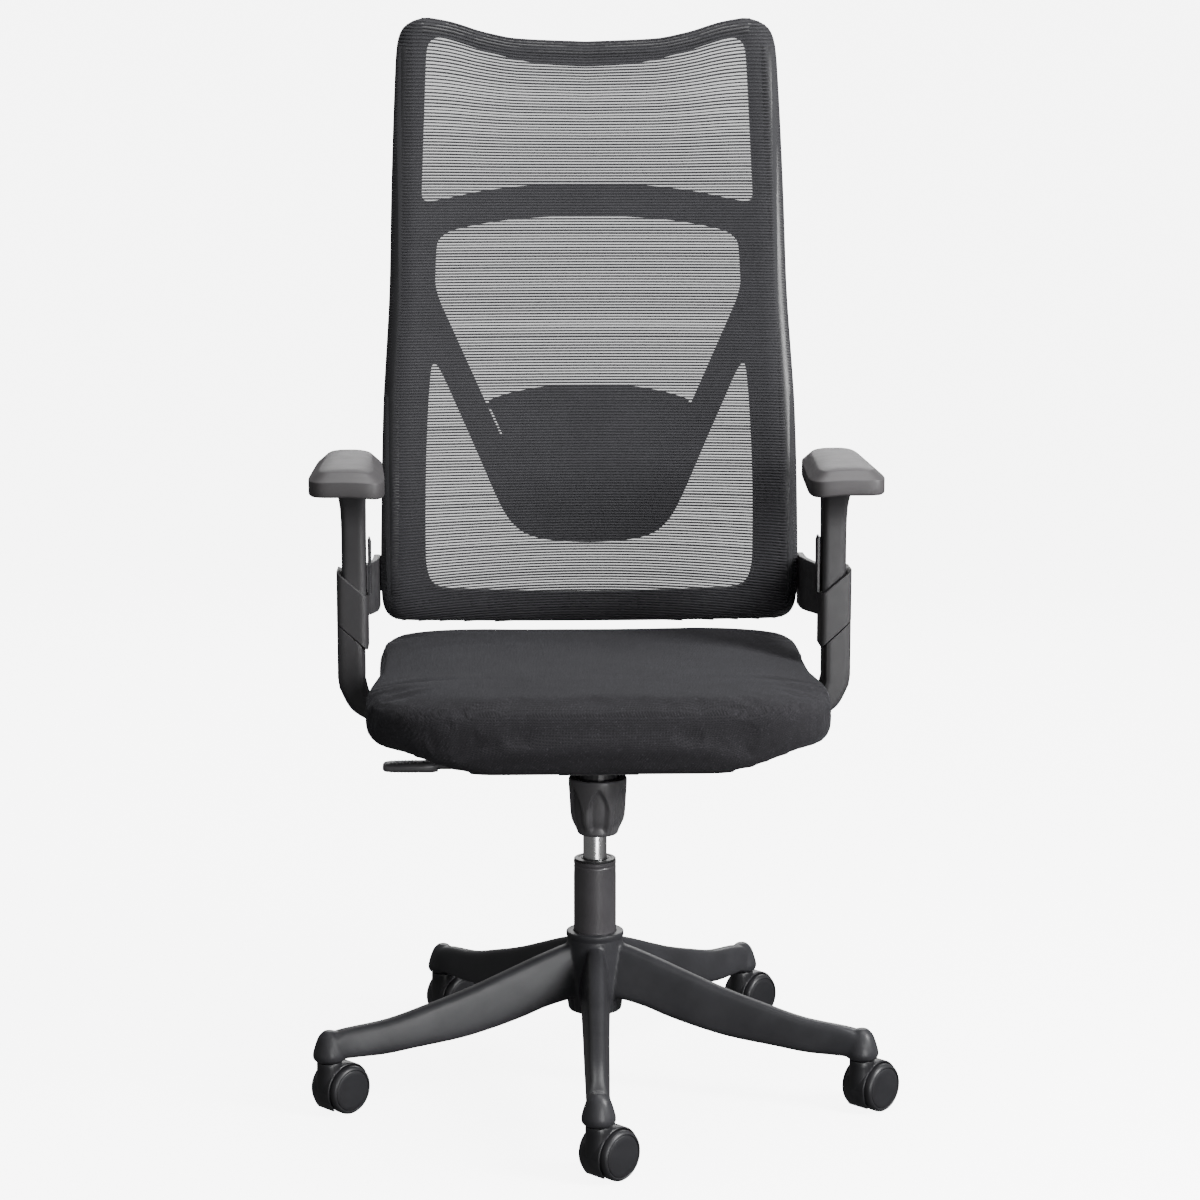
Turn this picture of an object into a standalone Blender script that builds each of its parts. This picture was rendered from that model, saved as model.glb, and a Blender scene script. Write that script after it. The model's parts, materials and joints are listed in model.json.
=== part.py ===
"""Swivel office chair, high mesh back on a frame, padded seat, adjustable arms,
tilt mechanism, gas lift and a five-star base on twin-wheel casters.

Metres, +Z up. The chair faces -Y. Working coordinates have the column axis at
x = y = 0 and the floor at z = FLOOR_Z; SHIFT moves everything at the end so that
the frame's origin is the bottom centre of the whole chair, on the floor. "Left" and "right" are
the sitter's: left is +X.
"""

import bpy
import bmesh
import math
import numpy as np
from mathutils import Vector, Matrix
from mathutils.geometry import delaunay_2d_cdt

# ------------------------------------------------------------------ dimensions
FLOOR_Z = 0.0130                     # the floor in these working coordinates
SHIFT = (-0.0100, 0.0041, -FLOOR_Z)  # column axis to the chair's box centre

# star base
BASE_YAW = math.radians(-1.2)        # how far the base is turned under the seat
STEM_RADIUS = 0.324                  # column axis to each caster's stem
HUB_R, HUB_TOP, HUB_BOTTOM = 0.0336, 0.2030, 0.1070
HUB_BORE_R = 0.0253
BELL_BOTTOM = 0.0762
STEM_R, FIT = 0.0050, 0.0003
STEM_BOTTOM = 0.0560

# casters
WHEEL_SEGMENTS = 18
WHEEL_R = 0.0287                     # to the corners of the tread's facets
AXLE_Z = FLOOR_Z + WHEEL_R * math.cos(math.pi / WHEEL_SEGMENTS)
TRAIL = 0.0165
CASTER_TURN = math.radians(47)
TRAIL_DIR = Vector((math.sin(CASTER_TURN), math.cos(CASTER_TURN), 0.0))
AXLE_DIR = Vector((math.cos(CASTER_TURN), -math.sin(CASTER_TURN), 0.0))
WHEEL_IN, WHEEL_OUT = 0.0078, 0.0222
HOOD_R, HOOD_INNER_R, HOOD_HALF = 0.0313, 0.0294, 0.0145

# column
TUBE_R, TUBE_TOP = 0.0250, 0.2890
ROD_R = 0.0140
CYLINDER_TOP = 0.4015

# mechanism
TILT_Y, TILT_Z = -0.075, 0.425
HOUSING_HALF = 0.045
KNOB_Y, KNOB_TOP, KNOB_BOTTOM = -0.098, 0.411, 0.345
LEVER_Y, LEVER_Z, LEVER_PIVOT_X = -0.028, 0.409, -0.038
PLATE_BOTTOM, PLATE_TOP = 0.4355, 0.4405

# seat
SEAT_FRONT, SEAT_REAR = -0.252, 0.213
SEAT_HALF_FRONT, SEAT_HALF_REAR = 0.2592, 0.2510
SEAT_TOP = 0.530
SHELL_Z = 0.4410

# arms
ARM_Y = 0.022
POST_X = 0.2795
PAD_TOP, PAD_BOTTOM = 0.764, 0.734

# back
BACK_EDGE_FORWARD = 0.029            # how far the back's sides come forward
RAIL_ROLL, RAIL_ROLL_DEPTH = 0.018, 0.010
FRAME_THICK = 0.018
MESH_THICK = 0.0012


# --------------------------------------------------------------------- helpers
def spline(table, x):
    """Smooth curve through a table of (x, y) rows, with no overshoot."""
    t = np.array(table, float)
    xs, ys = t[:, 0], t[:, 1]
    if xs[0] > xs[-1]:
        xs, ys = xs[::-1], ys[::-1]
    x = np.clip(np.asarray(x, float), xs[0], xs[-1])
    h = np.diff(xs)
    d = np.diff(ys) / h
    m = np.zeros(len(xs))
    for i in range(1, len(xs) - 1):
        if d[i - 1] * d[i] > 0:
            w1, w2 = 2 * h[i] + h[i - 1], h[i] + 2 * h[i - 1]
            m[i] = (w1 + w2) / (w1 / d[i - 1] + w2 / d[i])
    m[0], m[-1] = d[0], d[-1]
    i = np.clip(np.searchsorted(xs, x) - 1, 0, len(h) - 1)
    s = (x - xs[i]) / h[i]
    return (
        ys[i] * (1 + 2 * s) * (1 - s) ** 2
        + m[i] * h[i] * s * (1 - s) ** 2
        + ys[i + 1] * s * s * (3 - 2 * s)
        + m[i + 1] * h[i] * s * s * (s - 1)
    )


def smooth(a, b, x):
    t = np.clip((np.asarray(x, float) - a) / (b - a), 0, 1)
    return t * t * (3 - 2 * t)


def clear_scene():
    for obj in list(bpy.data.objects):
        bpy.data.objects.remove(obj, do_unlink=True)
    for mesh in list(bpy.data.meshes):
        bpy.data.meshes.remove(mesh)


def loft(rings, caps=True, closed=False):
    """Quads between rings of equal length, each ring a list of points."""
    bm = bmesh.new()
    rows = [[bm.verts.new(p) for p in ring] for ring in rings]
    n = len(rows[0])
    pairs = list(zip(rows, rows[1:]))
    if closed:
        pairs.append((rows[-1], rows[0]))
    for a, b in pairs:
        for i in range(n):
            j = (i + 1) % n
            bm.faces.new((a[i], a[j], b[j], b[i]))
    if caps and not closed:
        bm.faces.new(rows[0][::-1])
        bm.faces.new(rows[-1])
    bmesh.ops.recalc_face_normals(bm, faces=bm.faces)
    return bm


def lathe(profile, segments, closed=False, phase=0.0):
    """Turn (radius, height) rows about Z. A row at radius 0 is a pole."""
    bm = bmesh.new()
    rows = []
    for r, z in profile:
        if r < 1e-9:
            rows.append([bm.verts.new((0, 0, z))])
        else:
            rows.append(
                [
                    bm.verts.new(
                        (
                            r * math.cos(phase + 2 * math.pi * k / segments),
                            r * math.sin(phase + 2 * math.pi * k / segments),
                            z,
                        )
                    )
                    for k in range(segments)
                ]
            )
    pairs = list(zip(rows, rows[1:]))
    if closed:
        pairs.append((rows[-1], rows[0]))
    for a, b in pairs:
        for k in range(segments):
            j = (k + 1) % segments
            if len(a) == 1:
                bm.faces.new((a[0], b[k], b[j]))
            elif len(b) == 1:
                bm.faces.new((a[k], a[j], b[0]))
            else:
                bm.faces.new((a[k], a[j], b[j], b[k]))
    bmesh.ops.recalc_face_normals(bm, faces=bm.faces)
    return bm


def prism(outline, to_world, low, high):
    """Extrude a plane outline; to_world(u, v, w) places a point of it."""
    return loft(
        [[to_world(u, v, w) for u, v in outline] for w in (low, high)]
    )


def cylinder(r, low, high, segments=24, axis="Z", at=(0, 0, 0), phase=0.0):
    bm = lathe([(0, high), (r, high), (r, low), (0, low)], segments, phase=phase)
    turn = {
        "X": Matrix.Rotation(math.pi / 2, 4, "Y"),
        "Y": Matrix.Rotation(-math.pi / 2, 4, "X"),
        "Z": Matrix.Identity(4),
    }[axis]
    bmesh.ops.transform(bm, matrix=Matrix.Translation(at) @ turn, verts=bm.verts)
    return bm


def box(x0, x1, y0, y1, z0, z1, bevel=0.0):
    bm = prism(
        [(x0, y0), (x1, y0), (x1, y1), (x0, y1)], lambda u, v, w: (u, v, w), z0, z1
    )
    if bevel:
        bmesh.ops.bevel(
            bm, geom=list(bm.edges), offset=bevel, segments=1, affect="EDGES"
        )
    return bm


def moved(bm, matrix):
    bmesh.ops.transform(bm, matrix=matrix, verts=bm.verts)
    if matrix.determinant() < 0:
        bmesh.ops.reverse_faces(bm, faces=bm.faces)
    return bm


def copy_of(bm, matrix=None):
    other = bm.copy()
    return moved(other, matrix) if matrix is not None else other


def boolean(a, b, operation):
    """a and b are used up; the result is a new bmesh."""
    objects = []
    for bm in (a, b):
        mesh = bpy.data.meshes.new("tmp")
        bm.to_mesh(mesh)
        bm.free()
        obj = bpy.data.objects.new("tmp", mesh)
        bpy.context.scene.collection.objects.link(obj)
        objects.append(obj)
    modifier = objects[0].modifiers.new("cut", "BOOLEAN")
    modifier.operation = operation
    modifier.solver = "EXACT"
    modifier.object = objects[1]
    bpy.context.view_layer.update()
    graph = bpy.context.evaluated_depsgraph_get()
    mesh = bpy.data.meshes.new_from_object(objects[0].evaluated_get(graph))
    out = bmesh.new()
    out.from_mesh(mesh)
    bpy.data.meshes.remove(mesh)
    for obj in objects:
        mesh = obj.data
        bpy.data.objects.remove(obj, do_unlink=True)
        bpy.data.meshes.remove(mesh)
    bmesh.ops.remove_doubles(out, verts=out.verts, dist=2e-6)
    bmesh.ops.dissolve_degenerate(out, edges=out.edges, dist=2e-6)
    return out


def union(first, *others):
    for other in others:
        first = boolean(first, other, "UNION")
    return first


def cut(first, *others):
    for other in others:
        first = boolean(first, other, "DIFFERENCE")
    return first


MATERIALS = {}


def material(name, colour, roughness, metallic=0.0):
    if name not in MATERIALS:
        m = bpy.data.materials.new(name)
        m.use_nodes = True
        shader = m.node_tree.nodes["Principled BSDF"]
        shader.inputs["Base Color"].default_value = (*colour, 1)
        shader.inputs["Roughness"].default_value = roughness
        shader.inputs["Metallic"].default_value = metallic
        m.diffuse_color = (*colour, 1)
        MATERIALS[name] = m
    return MATERIALS[name]


def piece(name, bm, look, origin=(0, 0, 0), sharp=35):
    """Make the node: its object's origin is on its joint's axis."""
    origin = Vector(origin)
    bmesh.ops.transform(bm, matrix=Matrix.Translation(-origin), verts=bm.verts)
    bmesh.ops.recalc_face_normals(bm, faces=bm.faces)
    mesh = bpy.data.meshes.new(name)
    bm.to_mesh(mesh)
    bm.free()
    mesh.shade_smooth()
    mesh.set_sharp_from_angle(angle=math.radians(sharp))
    obj = bpy.data.objects.new(name, mesh)
    obj.location = origin + Vector(SHIFT)
    bpy.context.scene.collection.objects.link(obj)
    colour, roughness, metallic = look
    mesh.materials.append(material("mat_" + name, colour, roughness, metallic))
    return obj


NYLON = ((0.045, 0.045, 0.050), 0.42, 0.0)
PLASTIC = ((0.035, 0.035, 0.038), 0.45, 0.0)
SATIN = ((0.060, 0.060, 0.066), 0.50, 0.0)
STEEL = ((0.10, 0.10, 0.11), 0.40, 1.0)
CHROME = ((0.80, 0.80, 0.82), 0.15, 1.0)
BLACK_STEEL = ((0.04, 0.04, 0.042), 0.38, 0.3)
CLOTH = ((0.030, 0.030, 0.034), 0.90, 0.0)
MESH_CLOTH = ((0.035, 0.035, 0.038), 0.80, 0.0)
WOOD = ((0.45, 0.30, 0.17), 0.70, 0.0)
PAD = ((0.050, 0.050, 0.053), 0.55, 0.0)


# ------------------------------------------------------------------- star base
LEG_TOP = [(0.016, 0.1935), (0.033, 0.190), (0.065, 0.180), (0.117, 0.161), (0.150, 0.149),
           (0.203, 0.133), (0.257, 0.119), (0.308, 0.1125), (0.324, 0.1085)]
LEG_BOTTOM = [(0.016, 0.127), (0.033, 0.125), (0.065, 0.118), (0.091, 0.109), (0.130, 0.098),
              (0.168, 0.090), (0.219, 0.084), (0.270, 0.079), (0.324, 0.0790)]
LEG_HALF = [(0.016, 0.0190), (0.033, 0.0190), (0.065, 0.0180), (0.117, 0.0165), (0.203, 0.0152),
            (0.280, 0.0142), (0.300, 0.0146), (0.316, 0.0160), (0.324, 0.0168)]


def leg_section(r):
    top, bottom = float(spline(LEG_TOP, r)), float(spline(LEG_BOTTOM, r))
    half = float(spline(LEG_HALF, r))
    rib = 0.0098 + (half - 0.0098) * 0.5 * float(smooth(0.285, 0.32, r))
    side = [
        (rib * 0.62, top - 0.0008),
        (rib, top - 0.0042),
        (half, bottom + 0.0070),
        (half - 0.0025, bottom),
    ]
    ring = [(0.0, top)] + side + [(-y, z) for y, z in reversed(side)]
    return [(r, y, z) for y, z in ring]


BELL = [(0, 0.1125), (0.0070, 0.1112), (0.0118, 0.1065), (0.0152, 0.0990),
        (0.0178, 0.0905), (0.0193, 0.0835), (0.0186, 0.0796), (0.0155, BELL_BOTTOM), (0, BELL_BOTTOM)]


def leg_matrix(k):
    return Matrix.Rotation(BASE_YAW - math.pi / 2 + k * 2 * math.pi / 5, 4, "Z")


def stem_point(k):
    p = leg_matrix(k) @ Vector((STEM_RADIUS, 0, 0))
    return Vector((p.x, p.y, 0))


def make_base():
    hub = lathe(
        [(0, HUB_TOP), (HUB_R - 0.0016, HUB_TOP), (HUB_R, HUB_TOP - 0.0018),
         (HUB_R, 0.1200), (HUB_R - 0.0012, 0.1095), (HUB_R - 0.0035, HUB_BOTTOM),
         (0, HUB_BOTTOM)],
        30,
    )
    stations = (0.016, 0.033, 0.050, 0.075, 0.105, 0.145, 0.190, 0.235, 0.275, 0.300, 0.314, 0.324)
    leg = loft([leg_section(r) for r in stations])
    bell = lathe(BELL, 16)
    leg = union(leg, moved(bell, Matrix.Translation((STEM_RADIUS, 0, 0))))
    leg = cut(leg, cylinder(STEM_R + FIT, 0.070, 0.1035, 12, at=(STEM_RADIUS, 0, 0)))
    base = hub
    for k in range(5):
        base = union(base, copy_of(leg, leg_matrix(k)))
    leg.free()
    base = cut(base, cylinder(HUB_BORE_R, 0.09, 0.22, 30))
    piece("star_base", base, NYLON)
    for k in range(5):
        p = stem_point(k)
        stem = cylinder(STEM_R, STEM_BOTTOM, 0.1030, 12, at=p)
        piece("caster_stem_%d" % (k + 1), stem, STEEL, p)
    tube = lathe(
        [(TUBE_R, TUBE_TOP), (TUBE_R, 0.107), (0.0055, 0.107), (0.0055, 0.1110),
         (0.0235, 0.1110), (0.0235, TUBE_TOP)], 30, closed=True)
    piece("gas_tube", tube, BLACK_STEEL)
    bush = lathe(
        [(0.0246, 0.2915), (0.0246, 0.2893), (0.0232, 0.2893), (0.0232, 0.230),
         (0.0143, 0.230), (0.0143, 0.2915)], 24, closed=True)
    piece("guide_bush", bush, PLASTIC)


# --------------------------------------------------------------------- casters
def make_casters():
    def at(u, z, w):
        """u along the trail from the axle, w along the axle, z up."""
        p = TRAIL_DIR * (TRAIL + u) + AXLE_DIR * w
        return (p.x, p.y, z)

    def arc(r, first, last, steps):
        """Angles from the stem's side of the axle, upwards."""
        out = []
        for i in range(steps + 1):
            a = math.radians(first + (last - first) * i / steps)
            out.append((-r * math.cos(a), AXLE_Z + r * math.sin(a)))
        return out

    shell = prism(arc(HOOD_R, -45, 150, 9) + arc(HOOD_INNER_R, 150, -45, 9),
                  at, -HOOD_HALF, HOOD_HALF)
    web = prism(arc(0.0302, -43, 148, 8) + arc(0.0105, 170, 285, 3), at, -0.0072, 0.0072)
    neck = cylinder(0.0146, 0.0430, BELL_BOTTOM - 0.0005, 16)
    axle_turn = Matrix.Translation(Vector(at(0, AXLE_Z, 0))) @ Matrix(
        ((TRAIL_DIR.x, 0, AXLE_DIR.x, 0), (TRAIL_DIR.y, 0, AXLE_DIR.y, 0), (0, -1, 0, 0), (0, 0, 0, 1)))
    # columns: local x along the trail, local y down, local z along the axle
    if axle_turn.to_3x3().determinant() < 0:
        axle_turn = axle_turn @ Matrix.Scale(-1, 4, (0, 1, 0))
    hood = union(neck, web)
    for low, high in ((0.0074, 0.05), (-0.05, -0.0074)):
        hood = cut(hood, moved(cylinder(HOOD_INNER_R, low, high, 24), axle_turn))
    hood = union(hood, shell)
    hood = cut(hood, cylinder(STEM_R + FIT, STEM_BOTTOM - 0.0010, 0.09, 12),
               moved(cylinder(0.0033, -0.02, 0.02, 10), axle_turn))
    axle = moved(cylinder(0.0030, -0.0185, 0.0185, 10), axle_turn)
    half = math.pi / WHEEL_SEGMENTS
    wheel = lathe(
        [(0, WHEEL_OUT), (0.0238, WHEEL_OUT), (0.0272, 0.0208), (WHEEL_R, 0.0186),
         (WHEEL_R, 0.0094), (0.0272, WHEEL_IN), (0.0034, WHEEL_IN), (0.0034, 0.0190), (0, 0.0190)],
        WHEEL_SEGMENTS, phase=math.pi / 2 + half)
    wheel_b = copy_of(wheel, axle_turn @ Matrix.Scale(-1, 4, (0, 0, 1)))
    wheel_a = moved(wheel, axle_turn)
    for k in range(5):
        p = stem_point(k)
        move = Matrix.Translation(p)
        centre = p + Vector(at(0, AXLE_Z, 0))
        n = k + 1
        piece("caster_hood_%d" % n, copy_of(hood, move), PLASTIC, p)
        piece("caster_axle_%d" % n, copy_of(axle, move), STEEL, centre)
        piece("wheel_%da" % n, copy_of(wheel_a, move), PLASTIC, centre)
        piece("wheel_%db" % n, copy_of(wheel_b, move), PLASTIC, centre)
    for bm in (hood, axle, wheel_a, wheel_b):
        bm.free()


# ---------------------------------------------------------- column and mechanism
def knob_radius(z, angle):
    """Six petals, each scooped like a pointed arch between the ribs."""
    r = float(spline([(0.345, 0.0225), (0.350, 0.0244), (0.362, 0.0298), (0.368, 0.0310),
                      (0.390, 0.0325), (0.409, 0.0335), (0.411, 0.0328)], z))
    a = (angle / (math.pi / 3)) % 1.0
    scoop = max(0.0, 1 - abs(a - 0.5) * 2.2)
    height = float(smooth(0.396 - 0.030 * abs(a - 0.5) * 2, 0.372, z)) * float(smooth(0.345, 0.356, z))
    return r - 0.0042 * scoop * height


def make_mechanism():
    rod = lathe([(0, 0.282), (0.0107, 0.282), (0.0107, 0.270), (0.0045, 0.270),
                 (0.0045, 0.1045), (0, 0.1045)], 16)
    piece("piston_rod", rod, STEEL)
    bearing = lathe([(0.0115, 0.1180), (0.0115, 0.1115), (0.0049, 0.1115), (0.0049, 0.1180)],
                    16, closed=True)
    piece("thrust_bearing", bearing, STEEL)
    cylinder_ = lathe(
        [(0, 0.3835), (0.0028, 0.3835), (0.0028, CYLINDER_TOP), (0.0130, CYLINDER_TOP),
         (ROD_R, CYLINDER_TOP - 0.002), (ROD_R, 0.190), (0.0112, 0.190), (0.0112, 0.365), (0, 0.365)],
        24)
    piece("gas_cylinder", cylinder_, CHROME)
    piece("release_pin", cylinder(0.0025, 0.3905, 0.4055, 10), STEEL)

    def side(u, v, w):
        return (w, u, v)

    housing = prism(
        [(-0.128, 0.4190), (-0.062, 0.4190), (-0.056, 0.4060), (0.000, 0.3935), (0.056, 0.3820),
         (0.056, 0.3960), (-0.070, 0.4320), (-0.087, 0.4320), (-0.089, 0.4265), (-0.128, 0.4265)],
        side, -HOUSING_HALF, HOUSING_HALF)
    housing = union(
        housing,
        cylinder(0.0220, 0.3820, 0.3980, 24),
        cylinder(0.0225, 0.4040, 0.4200, 24, at=(0, KNOB_Y, 0)),
    )
    housing = cut(
        housing,
        cylinder(0.0190, 0.4000, 0.4188, 24, at=(0, KNOB_Y, 0)),
        cylinder(0.0045, 0.4100, 0.4400, 12, at=(0, KNOB_Y, 0)),
        cylinder(ROD_R + FIT, 0.3700, 0.4080, 24),
        box(-0.0345, 0.0085, -0.0370, 0.0065, 0.4005, 0.4500),
        box(-0.0600, -0.0285, -0.0370, -0.0190, 0.3985, 0.4500),
        cylinder(0.0053, -0.06, 0.06, 16, "X", (0, TILT_Y, TILT_Z)),
    )
    piece("mech_housing", housing, BLACK_STEEL)
    pin = cylinder(0.0050, -0.0565, 0.0565, 14, "X", (0, TILT_Y, TILT_Z))
    piece("tilt_pin", pin, STEEL, (0, TILT_Y, TILT_Z))

    rocker = union(
        box(-0.0700, -0.0300, LEVER_Y - 0.0075, LEVER_Y + 0.0075, 0.4025, 0.4155),
        box(-0.0330, 0.0065, LEVER_Y - 0.0073, 0.0045, 0.4061, 0.4098),
    )
    rocker = cut(rocker, cylinder(0.0043, -0.0750, -0.0345, 12, "X", (0, LEVER_Y, LEVER_Z)))
    piece("lever_rocker", rocker, BLACK_STEEL, (LEVER_PIVOT_X, LEVER_Y, LEVER_Z))
    rod = cylinder(0.0040, -0.1985, -0.0360, 12, "X", (0, LEVER_Y, LEVER_Z))
    piece("lever_rod", rod, STEEL, (LEVER_PIVOT_X, LEVER_Y, LEVER_Z))
    rings = []
    for x, half_y, low, high in ((-0.1830, 0.0075, 0.4030, 0.4150), (-0.1900, 0.0110, 0.4020, 0.4155),
                                 (-0.2050, 0.0130, 0.4025, 0.4150), (-0.2400, 0.0140, 0.4035, 0.4140),
                                 (-0.2455, 0.0120, 0.4045, 0.4130), (-0.2470, 0.0095, 0.4055, 0.4120)):
        c = 0.0025
        ring = [(LEVER_Y - half_y, low + c), (LEVER_Y - half_y + c, low), (LEVER_Y + half_y - c, low),
                (LEVER_Y + half_y, low + c), (LEVER_Y + half_y, high - c), (LEVER_Y + half_y - c, high),
                (LEVER_Y - half_y + c, high), (LEVER_Y - half_y, high - c)]
        rings.append([(x, y, z) for y, z in ring])
    paddle = cut(loft(rings), cylinder(0.0043, -0.2000, -0.1700, 12, "X", (0, LEVER_Y, LEVER_Z)))
    piece("lever_paddle", paddle, PLASTIC, (LEVER_PIVOT_X, LEVER_Y, LEVER_Z))

    bolt = lathe([(0, 0.4325), (0.0072, 0.4325), (0.0072, 0.4270), (0.0040, 0.4270),
                  (0.0040, 0.3520), (0, 0.3520)], 12)
    piece("tension_bolt", moved(bolt, Matrix.Translation((0, KNOB_Y, 0))), STEEL, (0, KNOB_Y, 0))
    segments = 24
    levels = (0.345, 0.350, 0.362, 0.374, 0.388, 0.400, 0.4095, 0.411)
    rings = [[(knob_radius(z, 2 * math.pi * k / segments) * math.cos(2 * math.pi * k / segments),
               KNOB_Y + knob_radius(z, 2 * math.pi * k / segments) * math.sin(2 * math.pi * k / segments), z)
              for k in range(segments)] for z in levels]
    knob = cut(loft(rings), cylinder(0.0240, 0.3720, 0.42, 24, at=(0, KNOB_Y, 0)),
               cylinder(0.0043, 0.3510, 0.38, 12, at=(0, KNOB_Y, 0)))
    piece("tension_knob", knob, PLASTIC, (0, KNOB_Y, 0))

    # compression spring between the knob's cup and the housing
    turns, coil_r, wire, low, high = 4.5, 0.0140, 0.0016, 0.3741, 0.4168
    steps = int(turns * 9)
    rings = []
    for i in range(steps + 1):
        a = 2 * math.pi * turns * i / steps
        centre = Vector((coil_r * math.cos(a), KNOB_Y + coil_r * math.sin(a), low + (high - low) * i / steps))
        out = Vector((math.cos(a), math.sin(a), 0))
        up = Vector((-math.sin(a), math.cos(a), 0)).cross(out) * -1
        rings.append([tuple(centre + wire * (out * math.cos(b) + up * math.sin(b)))
                      for b in [2 * math.pi * j / 6 for j in range(6)]])
    piece("tension_spring", loft(rings), STEEL, (0, KNOB_Y, 0))


# ------------------------------------------------------------------------ seat
def seat_outline(inset=0.0, count=48):
    """Round-cornered seat plan, its front edge bowed, from the rear centre."""
    out = []
    corner_f, corner_r = 0.078, 0.062
    w, f, r = 0.252, SEAT_FRONT, SEAT_REAR
    for k in range(count):
        a = 2 * math.pi * (k + 0.5) / count
        c, s = math.sin(a), math.cos(a)
        # superellipse: squarer at the rear than at the front
        n = 4.6 if s > 0 else 4.2
        m = (abs(c) ** n + abs(s) ** n) ** (-1 / n)
        x, y = c * m, s * m
        half = SEAT_HALF_FRONT + (SEAT_HALF_REAR - SEAT_HALF_FRONT) * (y + 1) / 2
        px = x * (half - inset)
        py = (f + r) / 2 + y * ((r - f) / 2 - inset)
        out.append((px, py))
    return out


def dish(x, y):
    """How far the shell's underside rises above its flat middle."""
    return (0.029 * smooth(0.125, 0.250, abs(x)) ** 1.0
            + 0.008 * smooth(0.17, 0.25, -y) + 0.012 * smooth(0.15, 0.215, y))


def plate_solid(outlines, low, high):
    """A closed sheet through scaled outlines, between two height functions."""
    bm = bmesh.new()
    top, bottom = [], []
    for ring in outlines:
        top.append([bm.verts.new((x, y, float(high(x, y)))) for x, y in ring])
        bottom.append([bm.verts.new((x, y, float(low(x, y)))) for x, y in ring])
    n = len(outlines[0])
    for rows in (top, bottom):
        for a, b in zip(rows, rows[1:]):
            for i in range(n):
                j = (i + 1) % n
                bm.faces.new((a[i], a[j], b[j]))
                bm.faces.new((a[i], b[j], b[i]))
        bm.faces.new(rows[-1])
    for i in range(n):
        j = (i + 1) % n
        bm.faces.new((top[0][i], top[0][j], bottom[0][j], bottom[0][i]))
    bmesh.ops.recalc_face_normals(bm, faces=bm.faces)
    return bm


def make_seat():
    plate = box(-0.085, 0.085, -0.150, 0.105, PLATE_BOTTOM, PLATE_TOP)
    ear = [(TILT_Y - 0.011 * math.cos(math.radians(a)), TILT_Z - 0.011 * math.sin(math.radians(a)))
           for a in range(0, 181, 30)] + [(TILT_Y + 0.011, 0.4370), (TILT_Y - 0.011, 0.4370)]
    for low, high in ((0.0458, 0.0508), (-0.0508, -0.0458)):
        plate = union(plate, prism(ear, lambda u, v, w: (w, u, v), low, high))
    plate = cut(plate, cylinder(0.0053, -0.06, 0.06, 14, "X", (0, TILT_Y, TILT_Z)))
    piece("seat_plate", plate, BLACK_STEEL, (0, TILT_Y, TILT_Z))

    scale = lambda ring, k: [(x * k, -0.0195 + (y + 0.0195) * k) for x, y in ring]
    count = 40
    outer = seat_outline(0.020, count)
    rings = [outer, scale(outer, 0.90), scale(outer, 0.78), scale(outer, 0.62), scale(outer, 0.45)]
    shell = plate_solid(rings, lambda x, y: SHELL_Z + dish(x, y), lambda x, y: SHELL_Z + 0.0042 + dish(x, y))
    piece("seat_shell", shell, PLASTIC, (0, TILT_Y, TILT_Z))

    board_top = SHELL_Z + 0.0042 + 0.0005 + 0.0100
    board = plate_solid(rings[1:], lambda x, y: board_top - 0.0100 + dish(x, y), lambda x, y: board_top + dish(x, y))
    piece("seat_board", board, WOOD, (0, TILT_Y, TILT_Z))

    # cushion: crowned top, rounded sides, waterfall front
    full = seat_outline(0.0, count)
    rows = []
    bm = bmesh.new()
    for k, lift in ((0.45, 0.0010), (0.62, 0.0010), (0.78, 0.0010), (0.90, 0.0010), (0.912, 0.0012), (0.940, -0.0090)):
        rows.append([bm.verts.new((x, y, board_top + float(dish(x, y)) + lift)) for x, y in scale(outer, k)])
    body = [(0.975, 0.4620), (0.993, 0.4740), (1.0, 0.4870), (0.998, 0.5030), (0.983, 0.5165), (0.952, 0.5250),
            (0.88, 0.5288), (0.62, SEAT_TOP), (0.30, SEAT_TOP)]
    for k, z in body:
        row = []
        for x, y in scale(full, k):
            lowest = SHELL_Z + 0.0052 + float(dish(x, y))
            waterfall = 0.005 * float(smooth(-0.12, -0.25, y)) * float(smooth(0.49, 0.53, z))
            t = (z - 0.4620) / (SEAT_TOP - 0.4620)
            zz = z - waterfall + (lowest + 0.0015 - 0.4620) * (1 - t) ** 3
            row.append(bm.verts.new((x, y, zz)))
        rows.append(row)
    n = count
    for a, b in zip(rows, rows[1:]):
        for i in range(n):
            j = (i + 1) % n
            # same diagonals as the board's top, which lies under it
            bm.faces.new((b[i], b[j], a[j]))
            bm.faces.new((b[i], a[j], a[i]))
    bm.faces.new(rows[0][::-1])
    bm.faces.new(rows[-1])
    piece("seat_cushion", bm, CLOTH, (0, TILT_Y, TILT_Z), sharp=60)


# ------------------------------------------------------------------------ arms
def rounded(hx, hy, cx, cy, chamfer):
    return [(cx - hx, cy - hy + chamfer), (cx - hx + chamfer, cy - hy), (cx + hx - chamfer, cy - hy),
            (cx + hx, cy - hy + chamfer), (cx + hx, cy + hy - chamfer), (cx + hx - chamfer, cy + hy),
            (cx - hx + chamfer, cy + hy), (cx - hx, cy + hy - chamfer)]


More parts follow.
